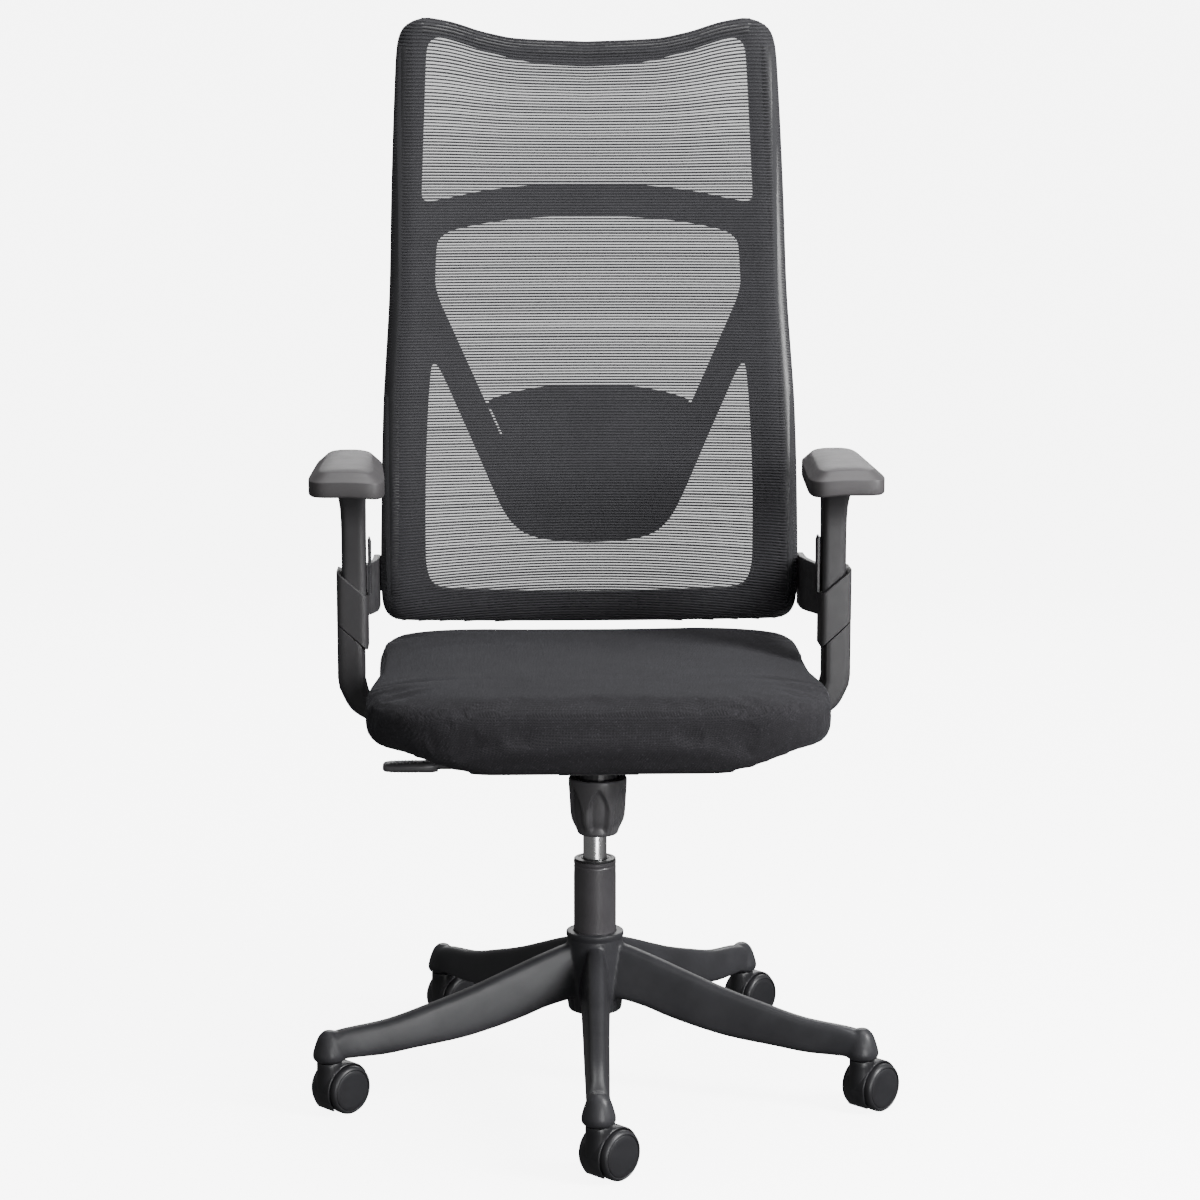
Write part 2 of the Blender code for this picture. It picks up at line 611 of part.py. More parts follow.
def make_arm(side, suffix):
    flip = Matrix.Scale(side, 4, (1, 0, 0))
    seat_axis = (0, TILT_Y, TILT_Z)

    # bracket: up the side of the seat from a tongue under it
    path = [  # x, z, half thickness, half depth, direction in degrees from +X
        (0.105, 0.4350, 0.0048, 0.0260, 0), (0.150, 0.4350, 0.0050, 0.0265, 2), (0.195, 0.4395, 0.0070, 0.0270, 12),
        (0.232, 0.4500, 0.0080, 0.0275, 24), (0.256, 0.4620, 0.0080, 0.0280, 36), (0.2745, 0.4790, 0.0125, 0.0280, 55),
        (0.2830, 0.4990, 0.0150, 0.0280, 80),
    ]
    rings = []
    for x, z, t, d, heading in path:
        a = math.radians(heading)
        nx, nz = -math.sin(a), math.cos(a)
        c = min(0.0035, t * 0.5)
        ring = [(-t, -d + c), (-t + c, -d), (t - c, -d), (t, -d + c), (t, d - c), (t - c, d), (-t + c, d), (-t, d - c)]
        rings.append([(x + nx * u, ARM_Y + v, z + nz * u) for u, v in ring])
    c = 0.0035
    for z_in, z_out in ((0.5080, 0.5080), (0.5436, 0.5725)):
        xi, xo = 0.2680, 0.2995
        ring = [(xo, -0.028 + c), (xo - c, -0.028), (xi + c, -0.028), (xi, -0.028 + c),
                (xi, 0.028 - c), (xi + c, 0.028), (xo - c, 0.028), (xo, 0.028 - c)]
        rings.append([(x, ARM_Y + v, z_in + (z_out - z_in) * (x - xi) / (xo - xi)) for x, v in ring])
    bracket = loft(rings)
    bracket = cut(
        bracket,
        box(0.2712, 0.2928, ARM_Y - 0.0173, ARM_Y + 0.0173, 0.5030, 0.60),
        box(0.2650, 0.2940, ARM_Y - 0.0225, ARM_Y + 0.0225, 0.5495, 0.60),
    )
    piece("arm_bracket_" + suffix, moved(bracket, flip), NYLON, seat_axis)

    def front(u, v, w):
        return (u, w, v)

    sleeve = prism([(0.2635, 0.5405), (0.2995, 0.5735), (0.2995, 0.6340), (0.2635, 0.6030)],
                   front, ARM_Y - 0.028, ARM_Y + 0.028)
    bmesh.ops.bevel(sleeve, geom=[e for e in sleeve.edges if abs((e.verts[0].co - e.verts[1].co).y) < 1e-6
                                  and abs((e.verts[0].co - e.verts[1].co).x) < 1e-6],
                    offset=0.003, segments=2, affect="EDGES")
    sleeve = cut(sleeve, box(0.2652, 0.2938, ARM_Y - 0.0223, ARM_Y + 0.0223, 0.50, 0.66))
    piece("arm_sleeve_" + suffix, moved(sleeve, flip), NYLON, seat_axis)

    rings = [[(x, y, z) for x, y in rounded(hx, hy, cx, cy, ch)] for z, hx, hy, cx, cy, ch in (
        (0.5435, 0.0105, 0.0170, 0.2820, ARM_Y, 0.002),
        (0.5895, 0.0105, 0.0170, 0.2820, ARM_Y, 0.002),
        (0.5900, 0.0140, 0.0220, POST_X, ARM_Y, 0.003),
        (0.6800, 0.0140, 0.0220, POST_X, ARM_Y, 0.004),
        (0.7060, 0.0145, 0.0250, POST_X + 0.0003, ARM_Y - 0.002, 0.004),
        (0.7230, 0.0160, 0.0330, POST_X + 0.0010, ARM_Y - 0.006, 0.005),
        (0.7336, 0.0178, 0.0420, POST_X + 0.0020, ARM_Y - 0.010, 0.006),
    )]
    piece("arm_post_" + suffix, moved(loft(rings), flip), NYLON, (side * POST_X, ARM_Y, 0.60))

    # pad: a slab with sloping shoulders, narrower at the rear, its front turned in a little
    toe = Matrix.Translation((0.284, 0.006, 0)) @ Matrix.Rotation(math.radians(-1.3), 4, "Z")
    rings = []
    for z, inset in ((PAD_BOTTOM, 0.0030), (0.7365, 0.0), (0.7515, 0.0), (0.7610, 0.0110), (PAD_TOP, 0.0200)):
        ring = []
        for k in range(28):
            a = 2 * math.pi * (k + 0.5) / 28
            n = 6.5
            cx, cy = math.cos(a), math.sin(a)
            m = (abs(cx) ** n + abs(cy) ** n) ** (-1 / n)
            y = cy * m * (0.1240 - inset)
            x = cx * m * (0.0405 - 0.0040 * y / 0.124 - inset)
            zz = z - (0.0020 * smooth(0.0, 0.043, -x) if z > 0.74 else 0.003 * smooth(0.0, 0.043, -x))
            ring.append((x, y, float(zz)))
        rings.append(ring)
    # the underside over the post stays flat at PAD_BOTTOM
    rings[0] = [(x, y, PAD_BOTTOM) for x, y, z in rings[0]]
    pad = moved(loft(rings), toe)
    piece("arm_pad_" + suffix, moved(pad, flip), PAD, (side * POST_X, ARM_Y, 0.60))

    button = prism([(0.2600, 0.6038), (0.2630, 0.6038), (0.2632, 0.6700), (0.2612, 0.6700), (0.2596, 0.6640)],
                   front, ARM_Y - 0.011, ARM_Y + 0.011)
    piece("arm_button_" + suffix, moved(button, flip), PLASTIC, (side * 0.2615, ARM_Y, 0.6035))

    # link: a rimmed band from the sleeve back and in to the back frame
    rings = []
    for x, y, t in ((0.2865, 0.0506, 0.0055), (0.2862, 0.0750, 0.0048), (0.2830, 0.1050, 0.0042),
                    (0.2750, 0.1350, 0.0040), (0.2660, 0.1560, 0.0040), (0.2612, 0.1750, 0.0040), (0.2605, 0.1960, 0.0040),
                    (0.2605, 0.2128, 0.0040)):
        rings.append((x, y, t))
    out = []
    for i, (x, y, t) in enumerate(rings):
        a = rings[max(i - 1, 0)]
        b = rings[min(i + 1, len(rings) - 1)]
        d = Vector((b[0] - a[0], b[1] - a[1], 0)).normalized()
        nrm = Vector((d.y, -d.x, 0))
        lo, hi, rim, web = 0.558, 0.611 + 0.011 * float(smooth(0.05, 0.18, y)), 0.006, t * 0.55
        ring = [(-t, lo), (t, lo), (t, lo + rim), (web, lo + rim + 0.002), (web, hi - rim - 0.002), (t, hi - rim),
                (t, hi), (-t, hi)]
        out.append([(x + nrm.x * u, y + nrm.y * u, z) for u, z in ring])
    lug = box(0.2370, 0.2600, 0.2090, 0.2130, 0.5770, 0.6210, 0.0008)
    piece("back_link_" + suffix, moved(union(loft(out), lug), flip), NYLON, seat_axis)


# ------------------------------------------------------------------------ back
DEPTH = [(0.535, 0.225), (0.60, 0.210), (0.70, 0.205), (0.80, 0.215), (0.90, 0.235),
         (1.00, 0.260), (1.10, 0.285), (1.20, 0.310), (1.275, 0.335)]
HALF_WIDTH = [(0.56, 0.2545), (0.60, 0.255), (0.70, 0.253), (0.81, 0.250), (0.86, 0.247), (0.95, 0.242),
              (1.05, 0.240), (1.15, 0.237), (1.20, 0.235), (1.224, 0.234)]
TOP_EDGE = [(0.0, 1.2440), (0.088, 1.2480), (0.115, 1.2530), (0.135, 1.2580), (0.150, 1.2630),
            (0.167, 1.2680), (0.195, 1.2730)]


def back_surface(x, z):
    """Depth of the frame's front face, before its edge rolls back."""
    return spline(DEPTH, z) - BACK_EDGE_FORWARD * (np.asarray(x) / 0.25) ** 2


def mirrored(half):
    """Closed outline from its right half, listed from x = 0 to x = 0."""
    left = [(-x, z) for x, z in reversed(half) if abs(x) > 1e-6]
    return half + left


def back_outline(fine=1):
    half = [(x, float(spline(TOP_EDGE, x))) for x in np.linspace(0, 0.185, 7 * fine)]
    half += [(0.196, 1.2730), (0.208, 1.2705), (0.219, 1.2655), (0.227, 1.2580), (0.2320, 1.2440)]
    half += [(float(spline(HALF_WIDTH, z)), z) for z in np.linspace(1.224, 0.575, 10 * fine)]
    half += [(0.2530, 0.5600), (0.2480, 0.5490), (0.2390, 0.5425), (0.2270, 0.5400)]
    half += [(x, 0.534 + 0.0062 * (x / 0.227) ** 2) for x in np.linspace(0.17, 0.0, 4 * fine)]
    return mirrored(half)


def top_window(fine=1):
    edge = [(0, 1.2130), (0.050, 1.2155), (0.104, 1.2260), (0.156, 1.2420)]
    half = [(x, float(spline(edge, x))) for x in np.linspace(0, 0.156, 5 * fine)]
    half += [(0.1800, 1.2490), (0.1900, 1.2460), (0.1960, 1.2370)]
    half += [(0.1975, 1.2100), (0.1995, 1.1500), (0.2025, 1.0700), (0.2028, 1.0560), (0.1990, 1.0500)]
    low = [(0, 1.0705), (0.049, 1.0700), (0.118, 1.0640), (0.170, 1.0540), (0.190, 1.0500)]
    half += [(x, float(spline(low, x))) for x in np.linspace(0.188, 0.0, 5 * fine)]
    return mirrored(half)


def middle_window(fine=1):
    edge = [(0, 1.0330), (0.084, 1.0287), (0.135, 1.0220), (0.169, 1.0145)]
    half = [(x, float(spline(edge, x))) for x in np.linspace(0, 0.169, 6 * fine)]
    half += [(0.1810, 1.0060), (0.1850, 0.9975), (0.1862, 0.9700), (0.1870, 0.9430)]
    half += [(0.187 - 0.4526 * (0.943 - z), z) for z in (0.900, 0.850, 0.800, 0.750, 0.7050)]
    half += [(0.0700, 0.6850), (0.0540, 0.6730), (0.0300, 0.6660), (0.0, 0.6640)]
    return mirrored(half)


def lower_window():
    """The opening that runs round the outside of the V and under it."""
    half = [(0, 0.6356), (0.051, 0.6390), (0.079, 0.6470), (0.096, 0.6620), (0.109, 0.6830), (0.139, 0.7545),
            (0.160, 0.8020), (0.181, 0.8500), (0.189, 0.8580), (0.193, 0.8470), (0.1975, 0.7800), (0.2000, 0.7000),
            (0.2005, 0.6300), (0.2000, 0.6080), (0.1940, 0.5870), (0.1780, 0.5800), (0.157, 0.5790), (0.088, 0.5750),
            (0, 0.5730)]
    return mirrored(half)


def inside(points, polygon):
    p = np.asarray(points, float)
    poly = np.asarray(polygon, float)
    x0, z0 = poly[:, 0], poly[:, 1]
    x1, z1 = np.roll(x0, -1), np.roll(z0, -1)
    out = np.zeros(len(p), bool)
    for a, b, c, d in zip(x0, z0, x1, z1):
        hit = (b > p[:, 1]) != (d > p[:, 1])
        with np.errstate(divide="ignore", invalid="ignore"):
            xx = (c - a) * (p[:, 1] - b) / (d - b) + a
        out ^= hit & (p[:, 0] < xx)
    return out


def edge_distance(points, polygon):
    p = np.asarray(points, float)
    best = np.full(len(p), 9.0)
    n = len(polygon)
    for i in range(n):
        a = np.array(polygon[i], float)
        b = np.array(polygon[(i + 1) % n], float)
        ab = b - a
        t = np.clip(((p - a) @ ab) / max(ab @ ab, 1e-12), 0, 1)
        best = np.minimum(best, np.linalg.norm(p - a - t[:, None] * ab, axis=1))
    return best


def flat_mesh(outline, holes, extra, lines=()):
    """Triangles of an outline less its holes, with extra points and loops of edges inside."""
    points, edges = [], []
    for loop in [outline] + holes + list(lines):
        start = len(points)
        points += loop
        edges += [(start + i, start + (i + 1) % len(loop)) for i in range(len(loop))]
    points += extra
    verts, _, faces, _, _, _ = delaunay_2d_cdt([Vector(p) for p in points], edges, [], 0, 1e-6)
    verts = np.array([tuple(v) for v in verts])
    faces = np.array([list(f) for f in faces])
    centres = verts[faces].mean(axis=1)
    keep = inside(centres, outline)
    for hole in holes:
        keep &= ~inside(centres, hole)
    return verts, faces[keep]


def sheet_solid(verts, faces, front, back):
    """Close a flat triangle mesh into a solid between two depth arrays."""
    bm = bmesh.new()
    used = sorted(set(faces.reshape(-1).tolist()))
    a = {i: bm.verts.new((verts[i][0], front[i], verts[i][1])) for i in used}
    b = {i: bm.verts.new((verts[i][0], back[i], verts[i][1])) for i in used}
    count = {}
    for f in faces.tolist():
        bm.faces.new([a[i] for i in f])
        bm.faces.new([b[i] for i in reversed(f)])
        for i, j in zip(f, f[1:] + f[:1]):
            count[(i, j)] = count.get((i, j), 0) + 1
    for i, j in count:
        if (j, i) not in count:
            bm.faces.new((a[j], a[i], b[i], b[j]))
    bmesh.ops.recalc_face_normals(bm, faces=bm.faces)
    return bm


def make_back():
    outline = back_outline()
    holes = [top_window(), middle_window(), lower_window()]
    inner = []
    for z in np.linspace(1.235, 0.575, 13):
        half = float(spline(HALF_WIDTH, min(max(z, 0.56), 1.224)))
        inner += [(half - RAIL_ROLL, z), (RAIL_ROLL - half, z)]
    for x in np.linspace(-0.2, 0.2, 9):
        inner.append((x, float(spline(TOP_EDGE, abs(x))) - 0.014))
        inner.append((x, 1.0500 - 0.02 * abs(x)))
        inner.append((x, 0.5550))
    # one triangulation serves the frame and the cloth in front of it, so they stay parallel
    grid = []
    for hole in holes:
        cells = [(x, z) for x in np.linspace(-0.18, 0.18, 7) for z in np.linspace(0.60, 1.21, 13)]
        cells = [p for p, ok in zip(cells, inside(cells, hole)) if ok]
        grid += [p for p, far in zip(cells, edge_distance(cells, hole)) if far > 0.012]
    verts, faces = flat_mesh(outline, [], inner + grid, holes)
    centres = verts[faces].mean(axis=1)
    solid = np.ones(len(faces), bool)
    for hole in holes:
        solid &= ~inside(centres, hole)
    d = edge_distance(verts, outline)
    roll = RAIL_ROLL_DEPTH * (1 - np.clip(d / RAIL_ROLL, 0, 1)) ** 2
    base = back_surface(verts[:, 0], verts[:, 1])
    thick = FRAME_THICK - 0.004 * smooth(0.19, 0.10, np.abs(verts[:, 0]))
    seat_axis = (0, TILT_Y, TILT_Z)
    frame = sheet_solid(verts, faces[solid], base + roll, base + thick)
    piece("back_frame", frame, NYLON, seat_axis)
    front = base + roll - 0.0005
    mesh = sheet_solid(verts, faces, front - MESH_THICK, front)
    piece("back_mesh", mesh, MESH_CLOTH, seat_axis)

    # lumbar pad: a shield between the arms of the V, sliding along the back
    edge = [(0, 0.8280), (0.050, 0.8270), (0.084, 0.8220), (0.105, 0.8170), (0.1225, 0.8110)]
    half = [(x, float(spline(edge, x))) for x in np.linspace(0, 0.119, 7)]
    half += [(0.1225, 0.8070)]
    half += [(0.187 - 0.4526 * (0.943 - z) - 0.0020, z) for z in (0.790, 0.750, 0.7070)]
    half += [(0.0685, 0.6890), (0.0530, 0.6765), (0.0300, 0.6690), (0.0, 0.6668)]
    pad_outline = mirrored(half)
    grid = [(x, z) for x in np.linspace(-0.09, 0.09, 5) for z in np.linspace(0.69, 0.81, 4)]
    grid = [p for p, ok in zip(grid, inside(grid, pad_outline)) if ok]
    grid = [p for p, far in zip(grid, edge_distance(grid, pad_outline)) if far > 0.008]
    verts, faces = flat_mesh(pad_outline, [], grid)
    base = back_surface(verts[:, 0], verts[:, 1])
    pad = sheet_solid(verts, faces, base + 0.0030, base + 0.0080)
    piece("lumbar_pad", pad, PLASTIC, (0, 0.215, 0.75))


clear_scene()
make_base()
make_casters()
make_mechanism()
make_seat()
make_arm(1, "left")
make_arm(-1, "right")
make_back()
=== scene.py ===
"""Looks of the swivel office chair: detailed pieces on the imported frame.

Metres, +Z up, the chair faces -Y. The shape helpers work with the column axis
at x = y = 0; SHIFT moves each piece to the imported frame's origin.
"""

import json
import math
import bpy
import bmesh
import numpy as np
from mathutils import Vector, Matrix
from mathutils.bvhtree import BVHTree
from mathutils.geometry import delaunay_2d_cdt


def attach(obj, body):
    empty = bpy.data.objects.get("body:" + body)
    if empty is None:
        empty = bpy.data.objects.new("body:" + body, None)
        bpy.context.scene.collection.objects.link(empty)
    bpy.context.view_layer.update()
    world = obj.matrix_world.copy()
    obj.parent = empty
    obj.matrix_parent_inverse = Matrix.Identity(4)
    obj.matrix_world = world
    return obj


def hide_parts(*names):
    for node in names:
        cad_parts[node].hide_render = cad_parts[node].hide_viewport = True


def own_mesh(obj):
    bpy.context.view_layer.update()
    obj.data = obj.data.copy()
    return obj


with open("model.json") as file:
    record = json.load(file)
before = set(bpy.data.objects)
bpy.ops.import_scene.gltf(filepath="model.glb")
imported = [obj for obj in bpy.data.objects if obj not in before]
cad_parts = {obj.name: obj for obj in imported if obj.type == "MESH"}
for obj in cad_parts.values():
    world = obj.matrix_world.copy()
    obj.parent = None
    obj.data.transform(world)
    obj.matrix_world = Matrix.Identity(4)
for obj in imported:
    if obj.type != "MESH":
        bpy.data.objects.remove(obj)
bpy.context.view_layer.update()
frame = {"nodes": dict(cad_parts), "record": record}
BODY = {node: body for body, nodes in frame["record"]["behaviour"]["bodies"].items() for node in nodes}

# ------------------------------------------- dimensions and shapes, as in the CAD
FLOOR_Z = 0.0130                     # the floor in these working coordinates
SHIFT = (-0.0100, 0.0041, -FLOOR_Z)  # column axis to the chair's box centre
BASE_YAW = math.radians(-1.2)        # how far the base is turned under the seat
STEM_RADIUS = 0.324                  # column axis to each caster's stem
HUB_R, HUB_TOP, HUB_BOTTOM = 0.0336, 0.2030, 0.1070
HUB_BORE_R = 0.0253
BELL_BOTTOM = 0.0762
STEM_R, FIT = 0.0050, 0.0003
STEM_BOTTOM = 0.0560
WHEEL_SEGMENTS = 18
WHEEL_R = 0.0287                     # to the corners of the tread's facets
AXLE_Z = FLOOR_Z + WHEEL_R * math.cos(math.pi / WHEEL_SEGMENTS)
TRAIL = 0.0165
CASTER_TURN = math.radians(47)
TRAIL_DIR = Vector((math.sin(CASTER_TURN), math.cos(CASTER_TURN), 0.0))
AXLE_DIR = Vector((math.cos(CASTER_TURN), -math.sin(CASTER_TURN), 0.0))
WHEEL_IN, WHEEL_OUT = 0.0078, 0.0222
HOOD_R, HOOD_INNER_R, HOOD_HALF = 0.0313, 0.0294, 0.0145
TUBE_R, TUBE_TOP = 0.0250, 0.2890
ROD_R = 0.0140
CYLINDER_TOP = 0.4015
TILT_Y, TILT_Z = -0.075, 0.425
HOUSING_HALF = 0.045
KNOB_Y, KNOB_TOP, KNOB_BOTTOM = -0.098, 0.411, 0.345
LEVER_Y, LEVER_Z, LEVER_PIVOT_X = -0.028, 0.409, -0.038
PLATE_BOTTOM, PLATE_TOP = 0.4355, 0.4405
SEAT_FRONT, SEAT_REAR = -0.252, 0.213
SEAT_HALF_FRONT, SEAT_HALF_REAR = 0.2592, 0.2510
SEAT_TOP = 0.530
SHELL_Z = 0.4410
ARM_Y = 0.022
POST_X = 0.2795
PAD_TOP, PAD_BOTTOM = 0.764, 0.734
BACK_EDGE_FORWARD = 0.029            # how far the back's sides come forward
RAIL_ROLL, RAIL_ROLL_DEPTH = 0.018, 0.010
FRAME_THICK = 0.018
MESH_THICK = 0.0012


def spline(table, x):
    """Smooth curve through a table of (x, y) rows, with no overshoot."""
    t = np.array(table, float)
    xs, ys = t[:, 0], t[:, 1]
    if xs[0] > xs[-1]:
        xs, ys = xs[::-1], ys[::-1]
    x = np.clip(np.asarray(x, float), xs[0], xs[-1])
    h = np.diff(xs)
    d = np.diff(ys) / h
    m = np.zeros(len(xs))
    for i in range(1, len(xs) - 1):
        if d[i - 1] * d[i] > 0:
            w1, w2 = 2 * h[i] + h[i - 1], h[i] + 2 * h[i - 1]
            m[i] = (w1 + w2) / (w1 / d[i - 1] + w2 / d[i])
    m[0], m[-1] = d[0], d[-1]
    i = np.clip(np.searchsorted(xs, x) - 1, 0, len(h) - 1)
    s = (x - xs[i]) / h[i]
    return (
        ys[i] * (1 + 2 * s) * (1 - s) ** 2
        + m[i] * h[i] * s * (1 - s) ** 2
        + ys[i + 1] * s * s * (3 - 2 * s)
        + m[i + 1] * h[i] * s * s * (s - 1)
    )


def smooth(a, b, x):
    t = np.clip((np.asarray(x, float) - a) / (b - a), 0, 1)
    return t * t * (3 - 2 * t)


def loft(rings, caps=True, closed=False):
    """Quads between rings of equal length, each ring a list of points."""
    bm = bmesh.new()
    rows = [[bm.verts.new(p) for p in ring] for ring in rings]
    n = len(rows[0])
    pairs = list(zip(rows, rows[1:]))
    if closed:
        pairs.append((rows[-1], rows[0]))
    for a, b in pairs:
        for i in range(n):
            j = (i + 1) % n
            bm.faces.new((a[i], a[j], b[j], b[i]))
    if caps and not closed:
        bm.faces.new(rows[0][::-1])
        bm.faces.new(rows[-1])
    bmesh.ops.recalc_face_normals(bm, faces=bm.faces)
    return bm


def lathe(profile, segments, closed=False, phase=0.0):
    """Turn (radius, height) rows about Z. A row at radius 0 is a pole."""
    bm = bmesh.new()
    rows = []
    for r, z in profile:
        if r < 1e-9:
            rows.append([bm.verts.new((0, 0, z))])
        else:
            rows.append(
                [
                    bm.verts.new(
                        (
                            r * math.cos(phase + 2 * math.pi * k / segments),
                            r * math.sin(phase + 2 * math.pi * k / segments),
                            z,
                        )
                    )
                    for k in range(segments)
                ]
            )
    pairs = list(zip(rows, rows[1:]))
    if closed:
        pairs.append((rows[-1], rows[0]))
    for a, b in pairs:
        for k in range(segments):
            j = (k + 1) % segments
            if len(a) == 1:
                bm.faces.new((a[0], b[k], b[j]))
            elif len(b) == 1:
                bm.faces.new((a[k], a[j], b[0]))
            else:
                bm.faces.new((a[k], a[j], b[j], b[k]))
    bmesh.ops.recalc_face_normals(bm, faces=bm.faces)
    return bm


def prism(outline, to_world, low, high):
    """Extrude a plane outline; to_world(u, v, w) places a point of it."""
    return loft(
        [[to_world(u, v, w) for u, v in outline] for w in (low, high)]
    )


def cylinder(r, low, high, segments=24, axis="Z", at=(0, 0, 0), phase=0.0):
    bm = lathe([(0, high), (r, high), (r, low), (0, low)], segments, phase=phase)
    turn = {
        "X": Matrix.Rotation(math.pi / 2, 4, "Y"),
        "Y": Matrix.Rotation(-math.pi / 2, 4, "X"),
        "Z": Matrix.Identity(4),
    }[axis]
    bmesh.ops.transform(bm, matrix=Matrix.Translation(at) @ turn, verts=bm.verts)
    return bm


def box(x0, x1, y0, y1, z0, z1, bevel=0.0):
    bm = prism(
        [(x0, y0), (x1, y0), (x1, y1), (x0, y1)], lambda u, v, w: (u, v, w), z0, z1
    )
    if bevel:
        bmesh.ops.bevel(
            bm, geom=list(bm.edges), offset=bevel, segments=1, affect="EDGES"
        )
    return bm


def moved(bm, matrix):
    bmesh.ops.transform(bm, matrix=matrix, verts=bm.verts)
    if matrix.determinant() < 0:
        bmesh.ops.reverse_faces(bm, faces=bm.faces)
    return bm


def copy_of(bm, matrix=None):
    other = bm.copy()
    return moved(other, matrix) if matrix is not None else other


def boolean(a, b, operation):
    """a and b are used up; the result is a new bmesh."""
    objects = []
    for bm in (a, b):
        mesh = bpy.data.meshes.new("tmp")
        bm.to_mesh(mesh)
        bm.free()
        obj = bpy.data.objects.new("tmp", mesh)
        bpy.context.scene.collection.objects.link(obj)
        objects.append(obj)
    modifier = objects[0].modifiers.new("cut", "BOOLEAN")
    modifier.operation = operation
    modifier.solver = "EXACT"
    modifier.object = objects[1]
    bpy.context.view_layer.update()
    graph = bpy.context.evaluated_depsgraph_get()
    mesh = bpy.data.meshes.new_from_object(objects[0].evaluated_get(graph))
    out = bmesh.new()
    out.from_mesh(mesh)
    bpy.data.meshes.remove(mesh)
    for obj in objects:
        mesh = obj.data
        bpy.data.objects.remove(obj, do_unlink=True)
        bpy.data.meshes.remove(mesh)
    bmesh.ops.remove_doubles(out, verts=out.verts, dist=2e-6)
    bmesh.ops.dissolve_degenerate(out, edges=out.edges, dist=2e-6)
    return out


def union(first, *others):
    for other in others:
        first = boolean(first, other, "UNION")
    return first


def cut(first, *others):
    for other in others:
        first = boolean(first, other, "DIFFERENCE")
    return first
LEG_TOP = [(0.016, 0.1935), (0.033, 0.190), (0.065, 0.180), (0.117, 0.161), (0.150, 0.149),
           (0.203, 0.133), (0.257, 0.119), (0.308, 0.1125), (0.324, 0.1085)]
LEG_BOTTOM = [(0.016, 0.127), (0.033, 0.125), (0.065, 0.118), (0.091, 0.109), (0.130, 0.098),
              (0.168, 0.090), (0.219, 0.084), (0.270, 0.079), (0.324, 0.0790)]
LEG_HALF = [(0.016, 0.0190), (0.033, 0.0190), (0.065, 0.0180), (0.117, 0.0165), (0.203, 0.0152),
            (0.280, 0.0142), (0.300, 0.0146), (0.316, 0.0160), (0.324, 0.0168)]


def leg_section(r):
    top, bottom = float(spline(LEG_TOP, r)), float(spline(LEG_BOTTOM, r))
    half = float(spline(LEG_HALF, r))
    rib = 0.0098 + (half - 0.0098) * 0.5 * float(smooth(0.285, 0.32, r))
    side = [
        (rib * 0.62, top - 0.0008),
        (rib, top - 0.0042),
        (half, bottom + 0.0070),
        (half - 0.0025, bottom),
    ]
    ring = [(0.0, top)] + side + [(-y, z) for y, z in reversed(side)]
    return [(r, y, z) for y, z in ring]
BELL = [(0, 0.1125), (0.0070, 0.1112), (0.0118, 0.1065), (0.0152, 0.0990),
        (0.0178, 0.0905), (0.0193, 0.0835), (0.0186, 0.0796), (0.0155, BELL_BOTTOM), (0, BELL_BOTTOM)]


def leg_matrix(k):
    return Matrix.Rotation(BASE_YAW - math.pi / 2 + k * 2 * math.pi / 5, 4, "Z")


def stem_point(k):
    p = leg_matrix(k) @ Vector((STEM_RADIUS, 0, 0))
    return Vector((p.x, p.y, 0))


def knob_radius(z, angle):
    """Six petals, each scooped like a pointed arch between the ribs."""
    r = float(spline([(0.345, 0.0225), (0.350, 0.0244), (0.362, 0.0298), (0.368, 0.0310),
                      (0.390, 0.0325), (0.409, 0.0335), (0.411, 0.0328)], z))
    a = (angle / (math.pi / 3)) % 1.0
    scoop = max(0.0, 1 - abs(a - 0.5) * 2.2)
    height = float(smooth(0.396 - 0.030 * abs(a - 0.5) * 2, 0.372, z)) * float(smooth(0.345, 0.356, z))
    return r - 0.0042 * scoop * height


def seat_outline(inset=0.0, count=48):
    """Round-cornered seat plan, its front edge bowed, from the rear centre."""
    out = []
    corner_f, corner_r = 0.078, 0.062
    w, f, r = 0.252, SEAT_FRONT, SEAT_REAR
    for k in range(count):
        a = 2 * math.pi * (k + 0.5) / count
        c, s = math.sin(a), math.cos(a)
        # superellipse: squarer at the rear than at the front
        n = 4.6 if s > 0 else 4.2
        m = (abs(c) ** n + abs(s) ** n) ** (-1 / n)
        x, y = c * m, s * m
        half = SEAT_HALF_FRONT + (SEAT_HALF_REAR - SEAT_HALF_FRONT) * (y + 1) / 2
        px = x * (half - inset)
        py = (f + r) / 2 + y * ((r - f) / 2 - inset)
        out.append((px, py))
    return out


def dish(x, y):
    """How far the shell's underside rises above its flat middle."""
    return (0.029 * smooth(0.125, 0.250, abs(x)) ** 1.0
            + 0.008 * smooth(0.17, 0.25, -y) + 0.012 * smooth(0.15, 0.215, y))


def plate_solid(outlines, low, high):
    """A closed sheet through scaled outlines, between two height functions."""
    bm = bmesh.new()
    top, bottom = [], []
    for ring in outlines:
        top.append([bm.verts.new((x, y, float(high(x, y)))) for x, y in ring])
        bottom.append([bm.verts.new((x, y, float(low(x, y)))) for x, y in ring])
    n = len(outlines[0])
    for rows in (top, bottom):
        for a, b in zip(rows, rows[1:]):
            for i in range(n):
                j = (i + 1) % n
                bm.faces.new((a[i], a[j], b[j]))
                bm.faces.new((a[i], b[j], b[i]))
        bm.faces.new(rows[-1])
    for i in range(n):
        j = (i + 1) % n
        bm.faces.new((top[0][i], top[0][j], bottom[0][j], bottom[0][i]))
    bmesh.ops.recalc_face_normals(bm, faces=bm.faces)
    return bm


